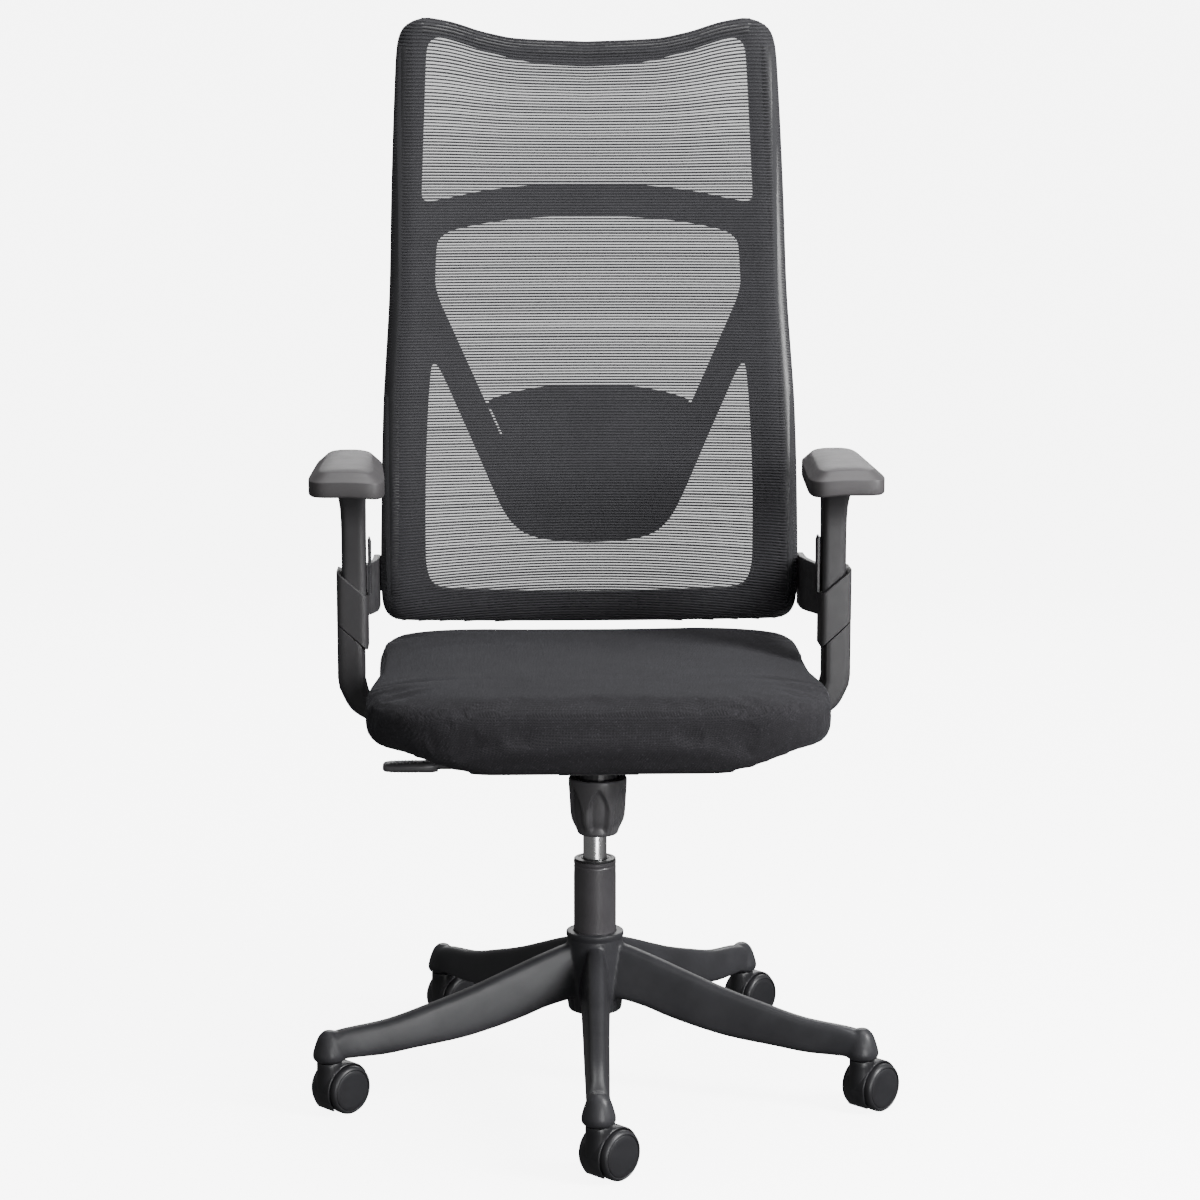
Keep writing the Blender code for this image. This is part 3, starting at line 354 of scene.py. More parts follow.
def rounded(hx, hy, cx, cy, chamfer):
    return [(cx - hx, cy - hy + chamfer), (cx - hx + chamfer, cy - hy), (cx + hx - chamfer, cy - hy),
            (cx + hx, cy - hy + chamfer), (cx + hx, cy + hy - chamfer), (cx + hx - chamfer, cy + hy),
            (cx - hx + chamfer, cy + hy), (cx - hx, cy + hy - chamfer)]
DEPTH = [(0.535, 0.225), (0.60, 0.210), (0.70, 0.205), (0.80, 0.215), (0.90, 0.235),
         (1.00, 0.260), (1.10, 0.285), (1.20, 0.310), (1.275, 0.335)]
HALF_WIDTH = [(0.56, 0.2545), (0.60, 0.255), (0.70, 0.253), (0.81, 0.250), (0.86, 0.247), (0.95, 0.242),
              (1.05, 0.240), (1.15, 0.237), (1.20, 0.235), (1.224, 0.234)]
TOP_EDGE = [(0.0, 1.2440), (0.088, 1.2480), (0.115, 1.2530), (0.135, 1.2580), (0.150, 1.2630),
            (0.167, 1.2680), (0.195, 1.2730)]


def back_surface(x, z):
    """Depth of the frame's front face, before its edge rolls back."""
    return spline(DEPTH, z) - BACK_EDGE_FORWARD * (np.asarray(x) / 0.25) ** 2


def mirrored(half):
    """Closed outline from its right half, listed from x = 0 to x = 0."""
    left = [(-x, z) for x, z in reversed(half) if abs(x) > 1e-6]
    return half + left


def back_outline(fine=1):
    half = [(x, float(spline(TOP_EDGE, x))) for x in np.linspace(0, 0.185, 7 * fine)]
    half += [(0.196, 1.2730), (0.208, 1.2705), (0.219, 1.2655), (0.227, 1.2580), (0.2320, 1.2440)]
    half += [(float(spline(HALF_WIDTH, z)), z) for z in np.linspace(1.224, 0.575, 10 * fine)]
    half += [(0.2530, 0.5600), (0.2480, 0.5490), (0.2390, 0.5425), (0.2270, 0.5400)]
    half += [(x, 0.534 + 0.0062 * (x / 0.227) ** 2) for x in np.linspace(0.17, 0.0, 4 * fine)]
    return mirrored(half)


def top_window(fine=1):
    edge = [(0, 1.2130), (0.050, 1.2155), (0.104, 1.2260), (0.156, 1.2420)]
    half = [(x, float(spline(edge, x))) for x in np.linspace(0, 0.156, 5 * fine)]
    half += [(0.1800, 1.2490), (0.1900, 1.2460), (0.1960, 1.2370)]
    half += [(0.1975, 1.2100), (0.1995, 1.1500), (0.2025, 1.0700), (0.2028, 1.0560), (0.1990, 1.0500)]
    low = [(0, 1.0705), (0.049, 1.0700), (0.118, 1.0640), (0.170, 1.0540), (0.190, 1.0500)]
    half += [(x, float(spline(low, x))) for x in np.linspace(0.188, 0.0, 5 * fine)]
    return mirrored(half)


def middle_window(fine=1):
    edge = [(0, 1.0330), (0.084, 1.0287), (0.135, 1.0220), (0.169, 1.0145)]
    half = [(x, float(spline(edge, x))) for x in np.linspace(0, 0.169, 6 * fine)]
    half += [(0.1810, 1.0060), (0.1850, 0.9975), (0.1862, 0.9700), (0.1870, 0.9430)]
    half += [(0.187 - 0.4526 * (0.943 - z), z) for z in (0.900, 0.850, 0.800, 0.750, 0.7050)]
    half += [(0.0700, 0.6850), (0.0540, 0.6730), (0.0300, 0.6660), (0.0, 0.6640)]
    return mirrored(half)


def lower_window():
    """The opening that runs round the outside of the V and under it."""
    half = [(0, 0.6356), (0.051, 0.6390), (0.079, 0.6470), (0.096, 0.6620), (0.109, 0.6830), (0.139, 0.7545),
            (0.160, 0.8020), (0.181, 0.8500), (0.189, 0.8580), (0.193, 0.8470), (0.1975, 0.7800), (0.2000, 0.7000),
            (0.2005, 0.6300), (0.2000, 0.6080), (0.1940, 0.5870), (0.1780, 0.5800), (0.157, 0.5790), (0.088, 0.5750),
            (0, 0.5730)]
    return mirrored(half)


def inside(points, polygon):
    p = np.asarray(points, float)
    poly = np.asarray(polygon, float)
    x0, z0 = poly[:, 0], poly[:, 1]
    x1, z1 = np.roll(x0, -1), np.roll(z0, -1)
    out = np.zeros(len(p), bool)
    for a, b, c, d in zip(x0, z0, x1, z1):
        hit = (b > p[:, 1]) != (d > p[:, 1])
        with np.errstate(divide="ignore", invalid="ignore"):
            xx = (c - a) * (p[:, 1] - b) / (d - b) + a
        out ^= hit & (p[:, 0] < xx)
    return out


def edge_distance(points, polygon):
    p = np.asarray(points, float)
    best = np.full(len(p), 9.0)
    n = len(polygon)
    for i in range(n):
        a = np.array(polygon[i], float)
        b = np.array(polygon[(i + 1) % n], float)
        ab = b - a
        t = np.clip(((p - a) @ ab) / max(ab @ ab, 1e-12), 0, 1)
        best = np.minimum(best, np.linalg.norm(p - a - t[:, None] * ab, axis=1))
    return best


def flat_mesh(outline, holes, extra, lines=()):
    """Triangles of an outline less its holes, with extra points and loops of edges inside."""
    points, edges = [], []
    for loop in [outline] + holes + list(lines):
        start = len(points)
        points += loop
        edges += [(start + i, start + (i + 1) % len(loop)) for i in range(len(loop))]
    points += extra
    verts, _, faces, _, _, _ = delaunay_2d_cdt([Vector(p) for p in points], edges, [], 0, 1e-6)
    verts = np.array([tuple(v) for v in verts])
    faces = np.array([list(f) for f in faces])
    centres = verts[faces].mean(axis=1)
    keep = inside(centres, outline)
    for hole in holes:
        keep &= ~inside(centres, hole)
    return verts, faces[keep]


def sheet_solid(verts, faces, front, back):
    """Close a flat triangle mesh into a solid between two depth arrays."""
    bm = bmesh.new()
    used = sorted(set(faces.reshape(-1).tolist()))
    a = {i: bm.verts.new((verts[i][0], front[i], verts[i][1])) for i in used}
    b = {i: bm.verts.new((verts[i][0], back[i], verts[i][1])) for i in used}
    count = {}
    for f in faces.tolist():
        bm.faces.new([a[i] for i in f])
        bm.faces.new([b[i] for i in reversed(f)])
        for i, j in zip(f, f[1:] + f[:1]):
            count[(i, j)] = count.get((i, j), 0) + 1
    for i, j in count:
        if (j, i) not in count:
            bm.faces.new((a[j], a[i], b[i], b[j]))
    bmesh.ops.recalc_face_normals(bm, faces=bm.faces)
    return bm

S = Vector(SHIFT)
UP = Vector((0, 0, 1))


# ------------------------------------------------------------------- materials
class Look:
    """A procedural material being built. Textures use object coordinates, in metres."""

    def __init__(self, name):
        self.m = bpy.data.materials.new(name)
        self.m.use_nodes = True
        self.t = self.m.node_tree
        self.shader = self.t.nodes["Principled BSDF"]
        self.coord = self.t.nodes.new("ShaderNodeTexCoord").outputs["Object"]

    def node(self, kind, links=None, **values):
        n = self.t.nodes.new(kind)
        for key, value in values.items():
            if key in n.inputs.keys():
                n.inputs[key].default_value = value
            else:
                setattr(n, key, value)
        for key, source in (links or {}).items():
            self.t.links.new(source, n.inputs[key])
        return n

    def noise(self, scale, detail=2.0, rough=0.5, vector=None):
        n = self.node("ShaderNodeTexNoise", {"Vector": vector or self.coord}, Scale=scale, Detail=detail, Roughness=rough)
        return n.outputs["Fac"]

    def range(self, source, a, b, c, d):
        n = self.node("ShaderNodeMapRange", {"Value": source})
        for i, v in enumerate((a, b, c, d)):
            n.inputs[i + 1].default_value = v
        return n.outputs["Result"]

    def math(self, operation, a, b):
        n = self.node("ShaderNodeMath", operation=operation)
        for i, v in enumerate((a, b)):
            if isinstance(v, (int, float)):
                n.inputs[i].default_value = v
            else:
                self.t.links.new(v, n.inputs[i])
        return n.outputs[0]

    def mix(self, factor, a, b):
        n = self.node("ShaderNodeMix", data_type="RGBA")
        for i, v in ((0, factor), (6, a), (7, b)):
            if isinstance(v, (int, float)):
                n.inputs[i].default_value = v
            elif isinstance(v, tuple):
                n.inputs[i].default_value = (*v, 1)
            else:
                self.t.links.new(v, n.inputs[i])
        return n.outputs[2]

    def set(self, **values):
        for key, value in values.items():
            key = key.replace("_", " ")
            if isinstance(value, (int, float, tuple)):
                self.shader.inputs[key].default_value = value
            else:
                self.t.links.new(value, self.shader.inputs[key])

    def bump(self, height, strength, distance, before=None):
        n = self.node("ShaderNodeBump", {"Height": height}, Strength=strength, Distance=distance)
        if before is not None:
            self.t.links.new(before, n.inputs["Normal"])
        return n.outputs["Normal"]

    def wave(self, direction, period, vector=None, distortion=0.0):
        n = self.node("ShaderNodeTexWave", {"Vector": vector or self.coord}, wave_type="BANDS", bands_direction=direction,
                      Scale=math.pi / 10 / period, Distortion=distortion, Detail=1.0)
        return n.outputs["Fac"]


def plastic(name, low, high, rough=(0.36, 0.48), grain=1400.0, bump=0.18, wear_and_edge_highlight=0.35, specular=0.5, edge=(0.16, 0.16, 0.17)):
    """Moulded plastic: cloudy tone, fine spark-eroded grain, convex edges painted paler as a highlight."""
    k = Look(name)
    cloud = k.noise(14.0, 4.0, 0.6)
    speck = k.noise(grain, 2.0, 0.6)
    colour = k.mix(k.range(cloud, 0.35, 0.65, 0.0, 1.0), low, high)
    # painted highlight: convex edges, picked out by Pointiness and broken up by noise, are mixed towards the pale edge
    # colour
    sharp = k.node("ShaderNodeNewGeometry").outputs["Pointiness"]
    painted_edge_highlight = k.math("MULTIPLY", k.range(sharp, 0.53, 0.62, 0.0, wear_and_edge_highlight), k.range(k.noise(90.0, 3.0), 0.35, 0.7, 0.2, 1.0))
    colour = k.mix(painted_edge_highlight, colour, edge)
    streak = k.noise(55.0, 3.0, 0.55)
    roughness = k.math("ADD", k.range(speck, 0.3, 0.7, rough[0], rough[1]), k.range(streak, 0.3, 0.7, -0.03, 0.03))
    k.set(Base_Color=colour, Roughness=roughness, Normal=k.bump(speck, bump, 0.00012))
    k.shader.inputs["Specular IOR Level"].default_value = specular
    return k.m


def painted(name, low, high, rough=(0.30, 0.42), metallic=0.0, coat=0.25):
    """Powder-coated steel with its fine orange peel."""
    k = Look(name)
    peel = k.noise(420.0, 3.0, 0.55)
    cloud = k.noise(20.0, 3.0)
    sharp = k.node("ShaderNodeNewGeometry").outputs["Pointiness"]
    colour = k.mix(k.range(cloud, 0.35, 0.65, 0.0, 1.0), low, high)
    # painted highlight: convex edges, picked out by Pointiness, are mixed towards a paler grey
    colour = k.mix(k.range(sharp, 0.54, 0.64, 0.0, 0.35), colour, (0.20, 0.20, 0.21))
    k.set(Base_Color=colour, Roughness=k.range(k.noise(160.0), 0.3, 0.7, *rough), Normal=k.bump(peel, 0.22, 0.00018))
    k.set(Metallic=metallic, Coat_Weight=coat, Coat_Roughness=0.25)
    return k.m


def metal(name, colour, rough, stretch=(1.0, 1.0, 1.0), bump=0.05, wear_and_edge_highlight=0.1):
    """Bare or plated steel with fine turning marks along one direction."""
    k = Look(name)
    place = k.node("ShaderNodeMapping", {"Vector": k.coord})
    place.inputs["Scale"].default_value = stretch
    marks = k.noise(900.0, 3.0, 0.6, place.outputs["Vector"])
    cloud = k.noise(35.0, 3.0)
    tint = tuple(c * 0.8 for c in colour)
    k.set(Base_Color=k.mix(k.range(cloud, 0.3, 0.7, 0.0, 1.0), colour, tint), Metallic=1.0,
          Roughness=k.math("ADD", k.range(marks, 0.3, 0.7, rough[0], rough[1]), k.range(cloud, 0.3, 0.7, 0.0, wear_and_edge_highlight)),
          Normal=k.bump(marks, bump, 0.00006))
    return k.m


def woven(name, dark, light, fleck, period=0.0017, bump=0.55, sheen=0.25):
    """Upholstery cloth: a flecked basket weave with crossing threads."""
    k = Look(name)
    part = k.node("ShaderNodeSeparateXYZ", {"Vector": k.coord})
    x, y, z = (part.outputs[i] for i in range(3))
    across = k.math("ADD", x, k.math("MULTIPLY", z, 0.5))
    along = k.math("SUBTRACT", y, k.math("MULTIPLY", z, 0.9))
    flat = k.node("ShaderNodeCombineXYZ", {"X": across, "Y": along}).outputs[0]
    warp = k.wave("X", period, flat, 1.2)
    weft = k.wave("Y", period * 0.9, flat, 1.2)
    checker = k.node("ShaderNodeTexChecker", {"Vector": flat}, Scale=1 / period).outputs["Fac"]
    over = k.math("ADD", k.math("MULTIPLY", warp, checker), k.math("MULTIPLY", weft, k.math("SUBTRACT", 1.0, checker)))
    mottle = k.noise(38.0, 4.0, 0.65)
    speck = k.noise(520.0, 3.0, 0.75)
    hair = k.noise(1900.0, 2.0, 0.6)
    colour = k.mix(k.range(over, 0.1, 0.9, 0.0, 1.0), dark, light)
    colour = k.mix(k.range(speck, 0.56, 0.70, 0.0, 0.75), colour, fleck)
    colour = k.mix(k.range(mottle, 0.35, 0.65, 0.0, 0.35), colour, dark)
    height = k.math("ADD", over, k.math("MULTIPLY", hair, 0.5))
    k.set(Base_Color=colour, Roughness=k.range(speck, 0.3, 0.7, 0.85, 0.98), Normal=k.bump(height, bump, 0.00035))
    k.set(Sheen_Weight=sheen, Sheen_Roughness=0.45)
    k.shader.inputs["Sheen Tint"].default_value = (0.75, 0.78, 0.85, 1)
    k.shader.inputs["Specular IOR Level"].default_value = 0.25
    return k.m


def cord_cloth(name, low, high, period=0.0011, sheen=0.35):
    """Spun cords: fine twist marks along each one."""
    k = Look(name)
    twist = k.wave("X", period, distortion=2.0)
    cloud = k.noise(22.0, 3.0, 0.6)
    fibre = k.noise(1600.0, 2.0)
    colour = k.mix(k.range(twist, 0.0, 1.0, 0.0, 1.0), low, high)
    colour = k.mix(k.range(cloud, 0.35, 0.65, 0.0, 0.4), colour, low)
    k.set(Base_Color=colour, Roughness=k.range(fibre, 0.3, 0.7, 0.55, 0.75), Normal=k.bump(twist, 0.35, 0.0002))
    k.set(Sheen_Weight=sheen, Sheen_Roughness=0.4)
    k.shader.inputs["Specular IOR Level"].default_value = 0.35
    return k.m


def veil(name, colour, alpha):
    """The fine threads that hold the cords, seen as a thin even haze."""
    k = Look(name)
    cloud = k.noise(60.0, 2.0)
    k.set(Base_Color=k.mix(cloud, colour, tuple(c * 1.5 for c in colour)), Roughness=0.8, Alpha=alpha)
    return k.m


def plywood(name):
    k = Look(name)
    place = k.node("ShaderNodeMapping", {"Vector": k.coord})
    place.inputs["Scale"].default_value = (1.0, 14.0, 30.0)
    grain = k.noise(14.0, 6.0, 0.6, place.outputs["Vector"])
    fine = k.noise(160.0, 3.0, 0.6, place.outputs["Vector"])
    colour = k.mix(k.range(grain, 0.3, 0.7, 0.0, 1.0), (0.52, 0.35, 0.20), (0.33, 0.20, 0.10))
    k.set(Base_Color=colour, Roughness=k.range(fine, 0.3, 0.7, 0.55, 0.8), Normal=k.bump(fine, 0.3, 0.0002))
    return k.m


M = {
    "nylon": plastic("base_nylon", (0.027, 0.027, 0.030), (0.037, 0.037, 0.041), (0.33, 0.45), 1100.0, 0.16, 0.45, 0.36),
    "caster": plastic("caster_moulding", (0.014, 0.014, 0.016), (0.020, 0.020, 0.022), (0.28, 0.40), 1300.0, 0.14, 0.5),
    "wheel": plastic("wheel_nylon", (0.017, 0.017, 0.019), (0.024, 0.024, 0.027), (0.34, 0.46), 1300.0, 0.12, 0.5),
    "steel": metal("plated_steel", (0.52, 0.52, 0.54), (0.28, 0.40), (1, 1, 0.1)),
    "column": painted("column_paint", (0.056, 0.053, 0.057), (0.068, 0.065, 0.070), (0.30, 0.38)),
    "bush": plastic("bush_moulding", (0.014, 0.014, 0.015), (0.020, 0.020, 0.021), (0.35, 0.45), 1500.0, 0.1, 0.3),
    "chrome": metal("polished_chrome", (0.82, 0.82, 0.83), (0.20, 0.28), (1, 1, 0.02), 0.02, 0.05),
    "mechanism": painted("mechanism_paint", (0.022, 0.022, 0.024), (0.032, 0.032, 0.034), (0.34, 0.46)),
    "knob": plastic("knob_moulding", (0.075, 0.073, 0.078), (0.095, 0.093, 0.098), (0.34, 0.44), 1200.0, 0.16, 0.6),
    "shell": plastic("shell_moulding", (0.022, 0.022, 0.024), (0.030, 0.030, 0.032), (0.42, 0.55), 900.0, 0.3, 0.3),
    "wood": plywood("seat_plywood"),
    "seat": woven("seat_cloth", (0.009, 0.0085, 0.0100), (0.021, 0.020, 0.023), (0.060, 0.057, 0.065), sheen=0.06),
    "seam": woven("seam_cloth", (0.012, 0.012, 0.014), (0.026, 0.025, 0.028), (0.05, 0.05, 0.055), 0.0012, 0.5, 0.2),
    "arm": plastic("arm_moulding", (0.028, 0.027, 0.029), (0.036, 0.035, 0.037), (0.40, 0.52), 900.0, 0.26, 0.4),
    "pad": plastic("soft_pad", (0.056, 0.053, 0.055), (0.066, 0.062, 0.065), (0.46, 0.58), 1500.0, 0.35, 0.2, 0.45),
    "frame": plastic("frame_moulding", (0.011, 0.011, 0.0125), (0.017, 0.017, 0.019), (0.34, 0.46), 1100.0, 0.18, 0.3),
    "cords": cord_cloth("mesh_cords", (0.017, 0.0165, 0.0195), (0.044, 0.043, 0.049), sheen=0.2),
    "veil": veil("mesh_threads", (0.022, 0.022, 0.025), 0.86),
    "lumbar": plastic("lumbar_moulding", (0.016, 0.016, 0.018), (0.024, 0.024, 0.027), (0.36, 0.48), 1100.0, 0.18, 0.3),
}


# --------------------------------------------------------------------- helpers
def put(name, bm, look, stands_for=(), body=None, sharp=35, bevel=0.0, segments=2, angle=32, levels=0):
    """A piece from a bmesh in the column's coordinates, riding on its body."""
    bmesh.ops.transform(bm, matrix=Matrix.Translation(S), verts=bm.verts)
    bmesh.ops.remove_doubles(bm, verts=bm.verts, dist=1e-6)
    bmesh.ops.recalc_face_normals(bm, faces=bm.faces)
    mesh = bpy.data.meshes.new(name)
    bm.to_mesh(mesh)
    bm.free()
    mesh.shade_smooth()
    mesh.set_sharp_from_angle(angle=math.radians(sharp))
    obj = bpy.data.objects.new(name, mesh)
    bpy.context.scene.collection.objects.link(obj)
    mesh.materials.append(M[look])
    if bevel:
        soften(obj, bevel, segments, angle)
    if levels:
        sub = obj.modifiers.new("subdivide", "SUBSURF")
        sub.levels = sub.render_levels = levels
    if isinstance(stands_for, str):
        stands_for = (stands_for,)
    if stands_for:
        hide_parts(*stands_for)
    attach(obj, body or BODY[stands_for[0]])
    return obj


def soften(obj, width, segments=2, angle=32):
    b = obj.modifiers.new("edges", "BEVEL")
    b.width = width
    b.segments = segments
    b.limit_method = "ANGLE"
    b.angle_limit = math.radians(angle)
    b.harden_normals = True
    b.use_clamp_overlap = True


def chaikin(ring, rounds=1, closed=True):
    """Cut the corners of a ring of points, rounding it."""
    p = np.asarray(ring, float)
    for _ in range(rounds):
        q = np.roll(p, -1, axis=0)
        p = np.stack([0.75 * p + 0.25 * q, 0.25 * p + 0.75 * q], axis=1).reshape(-1, p.shape[1])
    return [tuple(row) for row in p]


def evaluated(obj):
    bpy.context.view_layer.update()
    graph = bpy.context.evaluated_depsgraph_get()
    return bpy.data.meshes.new_from_object(obj.evaluated_get(graph))


def remeshed(bm, voxel, smoothing=4, factor=0.5):
    """The bmesh as one even quad skin."""
    mesh = bpy.data.meshes.new("tmp")
    bm.to_mesh(mesh)
    bm.free()
    obj = bpy.data.objects.new("tmp", mesh)
    bpy.context.scene.collection.objects.link(obj)
    r = obj.modifiers.new("r", "REMESH")
    r.mode = "VOXEL"
    r.voxel_size = voxel
    r.adaptivity = 0.0
    if smoothing:
        s = obj.modifiers.new("s", "SMOOTH")
        s.iterations = smoothing
        s.factor = factor
    result = evaluated(obj)
    out = bmesh.new()
    out.from_mesh(result)
    bpy.data.meshes.remove(result)
    bpy.data.objects.remove(obj, do_unlink=True)
    bpy.data.meshes.remove(mesh)
    return out


def tube(points, radius, sides=8, closed=False):
    """A round bar along a line of points."""
    p = [Vector(q) for q in points]
    rings = []
    side = None
    n = len(p)
    for i in range(n):
        if closed:
            d = (p[(i + 1) % n] - p[i - 1]).normalized()
        else:
            d = (p[min(i + 1, n - 1)] - p[max(i - 1, 0)]).normalized()
        if side is None:
            side = d.cross(UP if abs(d.z) < 0.9 else Vector((1, 0, 0))).normalized()
        side = (side - d * side.dot(d)).normalized()
        other = d.cross(side)
        r = radius[i] if hasattr(radius, "__len__") else radius
        rings.append([tuple(p[i] + side * (r * math.cos(a)) + other * (r * math.sin(a)))
                      for a in (2 * math.pi * j / sides for j in range(sides))])
    return loft(rings, closed=closed)


def joined(*parts):
    """Several closed shapes in one piece, none touching another."""
    out = bmesh.new()
    for bm in parts:
        mesh = bpy.data.meshes.new("tmp")
        bm.to_mesh(mesh)
        bm.free()
        out.from_mesh(mesh)
        bpy.data.meshes.remove(mesh)
    return out


def superellipse(hx, hy, n, count, cx=0.0, cy=0.0, start=0.5):
    ring = []
    for k in range(count):
        a = 2 * math.pi * (k + start) / count
        c, s = math.cos(a), math.sin(a)
        m = (abs(c) ** n + abs(s) ** n) ** (-1 / n)
        ring.append((cx + c * m * hx, cy + s * m * hy))
    return ring


# -------------------------------------------------------------- camera and stage
def make_stage():
    camera = bpy.data.objects.new("camera", bpy.data.cameras.new("camera"))
    camera.data.sensor_width = 36.0
    camera.data.lens = 89.25
    camera.data.clip_end = 60.0
    camera.location = Vector((-0.113, -3.408, 1.16)) + S
    camera.rotation_euler = (math.radians(90 - 9.35), 0, math.radians(-2.0))
    bpy.context.scene.collection.objects.link(camera)
    bpy.context.scene.camera = camera

    # one pale paper sweep: a round floor that curves up into a wall far away
    profile = [(0, 0.0)] + [(r, 0.0) for r in np.linspace(0.5, 11.0, 12)]
    profile += [(11.0 + 3.0 * math.sin(t), 3.0 * (1 - math.cos(t))) for t in np.linspace(0.12, math.pi / 2, 10)]
    profile += [(14.0, 9.0)]
    bm = lathe([(r, z - 0.0004 + FLOOR_Z) for r, z in profile], 96)
    bmesh.ops.transform(bm, matrix=Matrix.Translation(S), verts=bm.verts)
    mesh = bpy.data.meshes.new("studio_floor")
    bm.to_mesh(mesh)
    bm.free()
    mesh.flip_normals()
    mesh.shade_smooth()
    floor = bpy.data.objects.new("studio_floor", mesh)
    bpy.context.scene.collection.objects.link(floor)
    floor.visible_diffuse = False
    floor.visible_glossy = False
    k = Look("studio_paper")
    k.set(Base_Color=k.mix(k.noise(1.5, 2.0), (0.90, 0.90, 0.90), (0.93, 0.93, 0.93)), Roughness=0.95)
    k.shader.inputs["Specular IOR Level"].default_value = 0.0
    k.shader.inputs["Emission Color"].default_value = (1, 1, 1, 1)
    k.shader.inputs["Emission Strength"].default_value = GLOW
    mesh.materials.append(k.m)

    world = bpy.data.worlds.new("studio")
    bpy.context.scene.world = world
    world.use_nodes = True
    nodes, links = world.node_tree.nodes, world.node_tree.links
    back = nodes["Background"]
    place = nodes.new("ShaderNodeTexCoord")
    part = nodes.new("ShaderNodeSeparateXYZ")
    ramp = nodes.new("ShaderNodeValToRGB")
    links.new(place.outputs["Generated"], part.inputs[0])
    shift = nodes.new("ShaderNodeMath")
    shift.operation = "MULTIPLY_ADD"
    shift.inputs[1].default_value = 0.5
    shift.inputs[2].default_value = 0.5
    links.new(part.outputs["Z"], shift.inputs[0])
    links.new(shift.outputs[0], ramp.inputs[0])
    links.new(ramp.outputs[0], back.inputs["Color"])
    ramp.color_ramp.elements[0].position = 0.40
    ramp.color_ramp.elements[0].color = (0.30, 0.30, 0.30, 1)
    ramp.color_ramp.elements[1].position = 0.85
    ramp.color_ramp.elements[1].color = (1.0, 1.0, 1.0, 1)
    back.inputs["Strength"].default_value = WORLD

    def softbox(name, place, target, size, power, colour=(1, 1, 1)):
        data = bpy.data.lights.new(name, "AREA")
        data.shape = "RECTANGLE"
        data.size, data.size_y = size
        data.energy = power
        data.color = colour
        lamp = bpy.data.objects.new(name, data)
        lamp.location = place
        lamp.rotation_euler = (Vector(target) - Vector(place)).to_track_quat("-Z", "Y").to_euler()
        bpy.context.scene.collection.objects.link(lamp)

    for row in LAMPS:
        softbox(*row)


GLOW = 6.5
WORLD = 0.34
LAMPS = [
    ("key", (1.60, -1.00, 1.45), (0, 0, 0.72), (0.6, 1.2), 76),
    ("top", (0.3, 0.1, 3.4), (0, 0, 0.6), (2.2, 1.6), 74),
    ("front", (-0.6, -3.6, 2.3), (0, 0, 0.7), (1.8, 1.4), 10),
    ("low", (0.9, -2.4, 0.42), (0, 0, 0.24), (0.9, 0.5), 27),
    ("rim", (0.3, 3.3, 1.7), (0, 0, 0.8), (2.0, 1.4), 34),
]


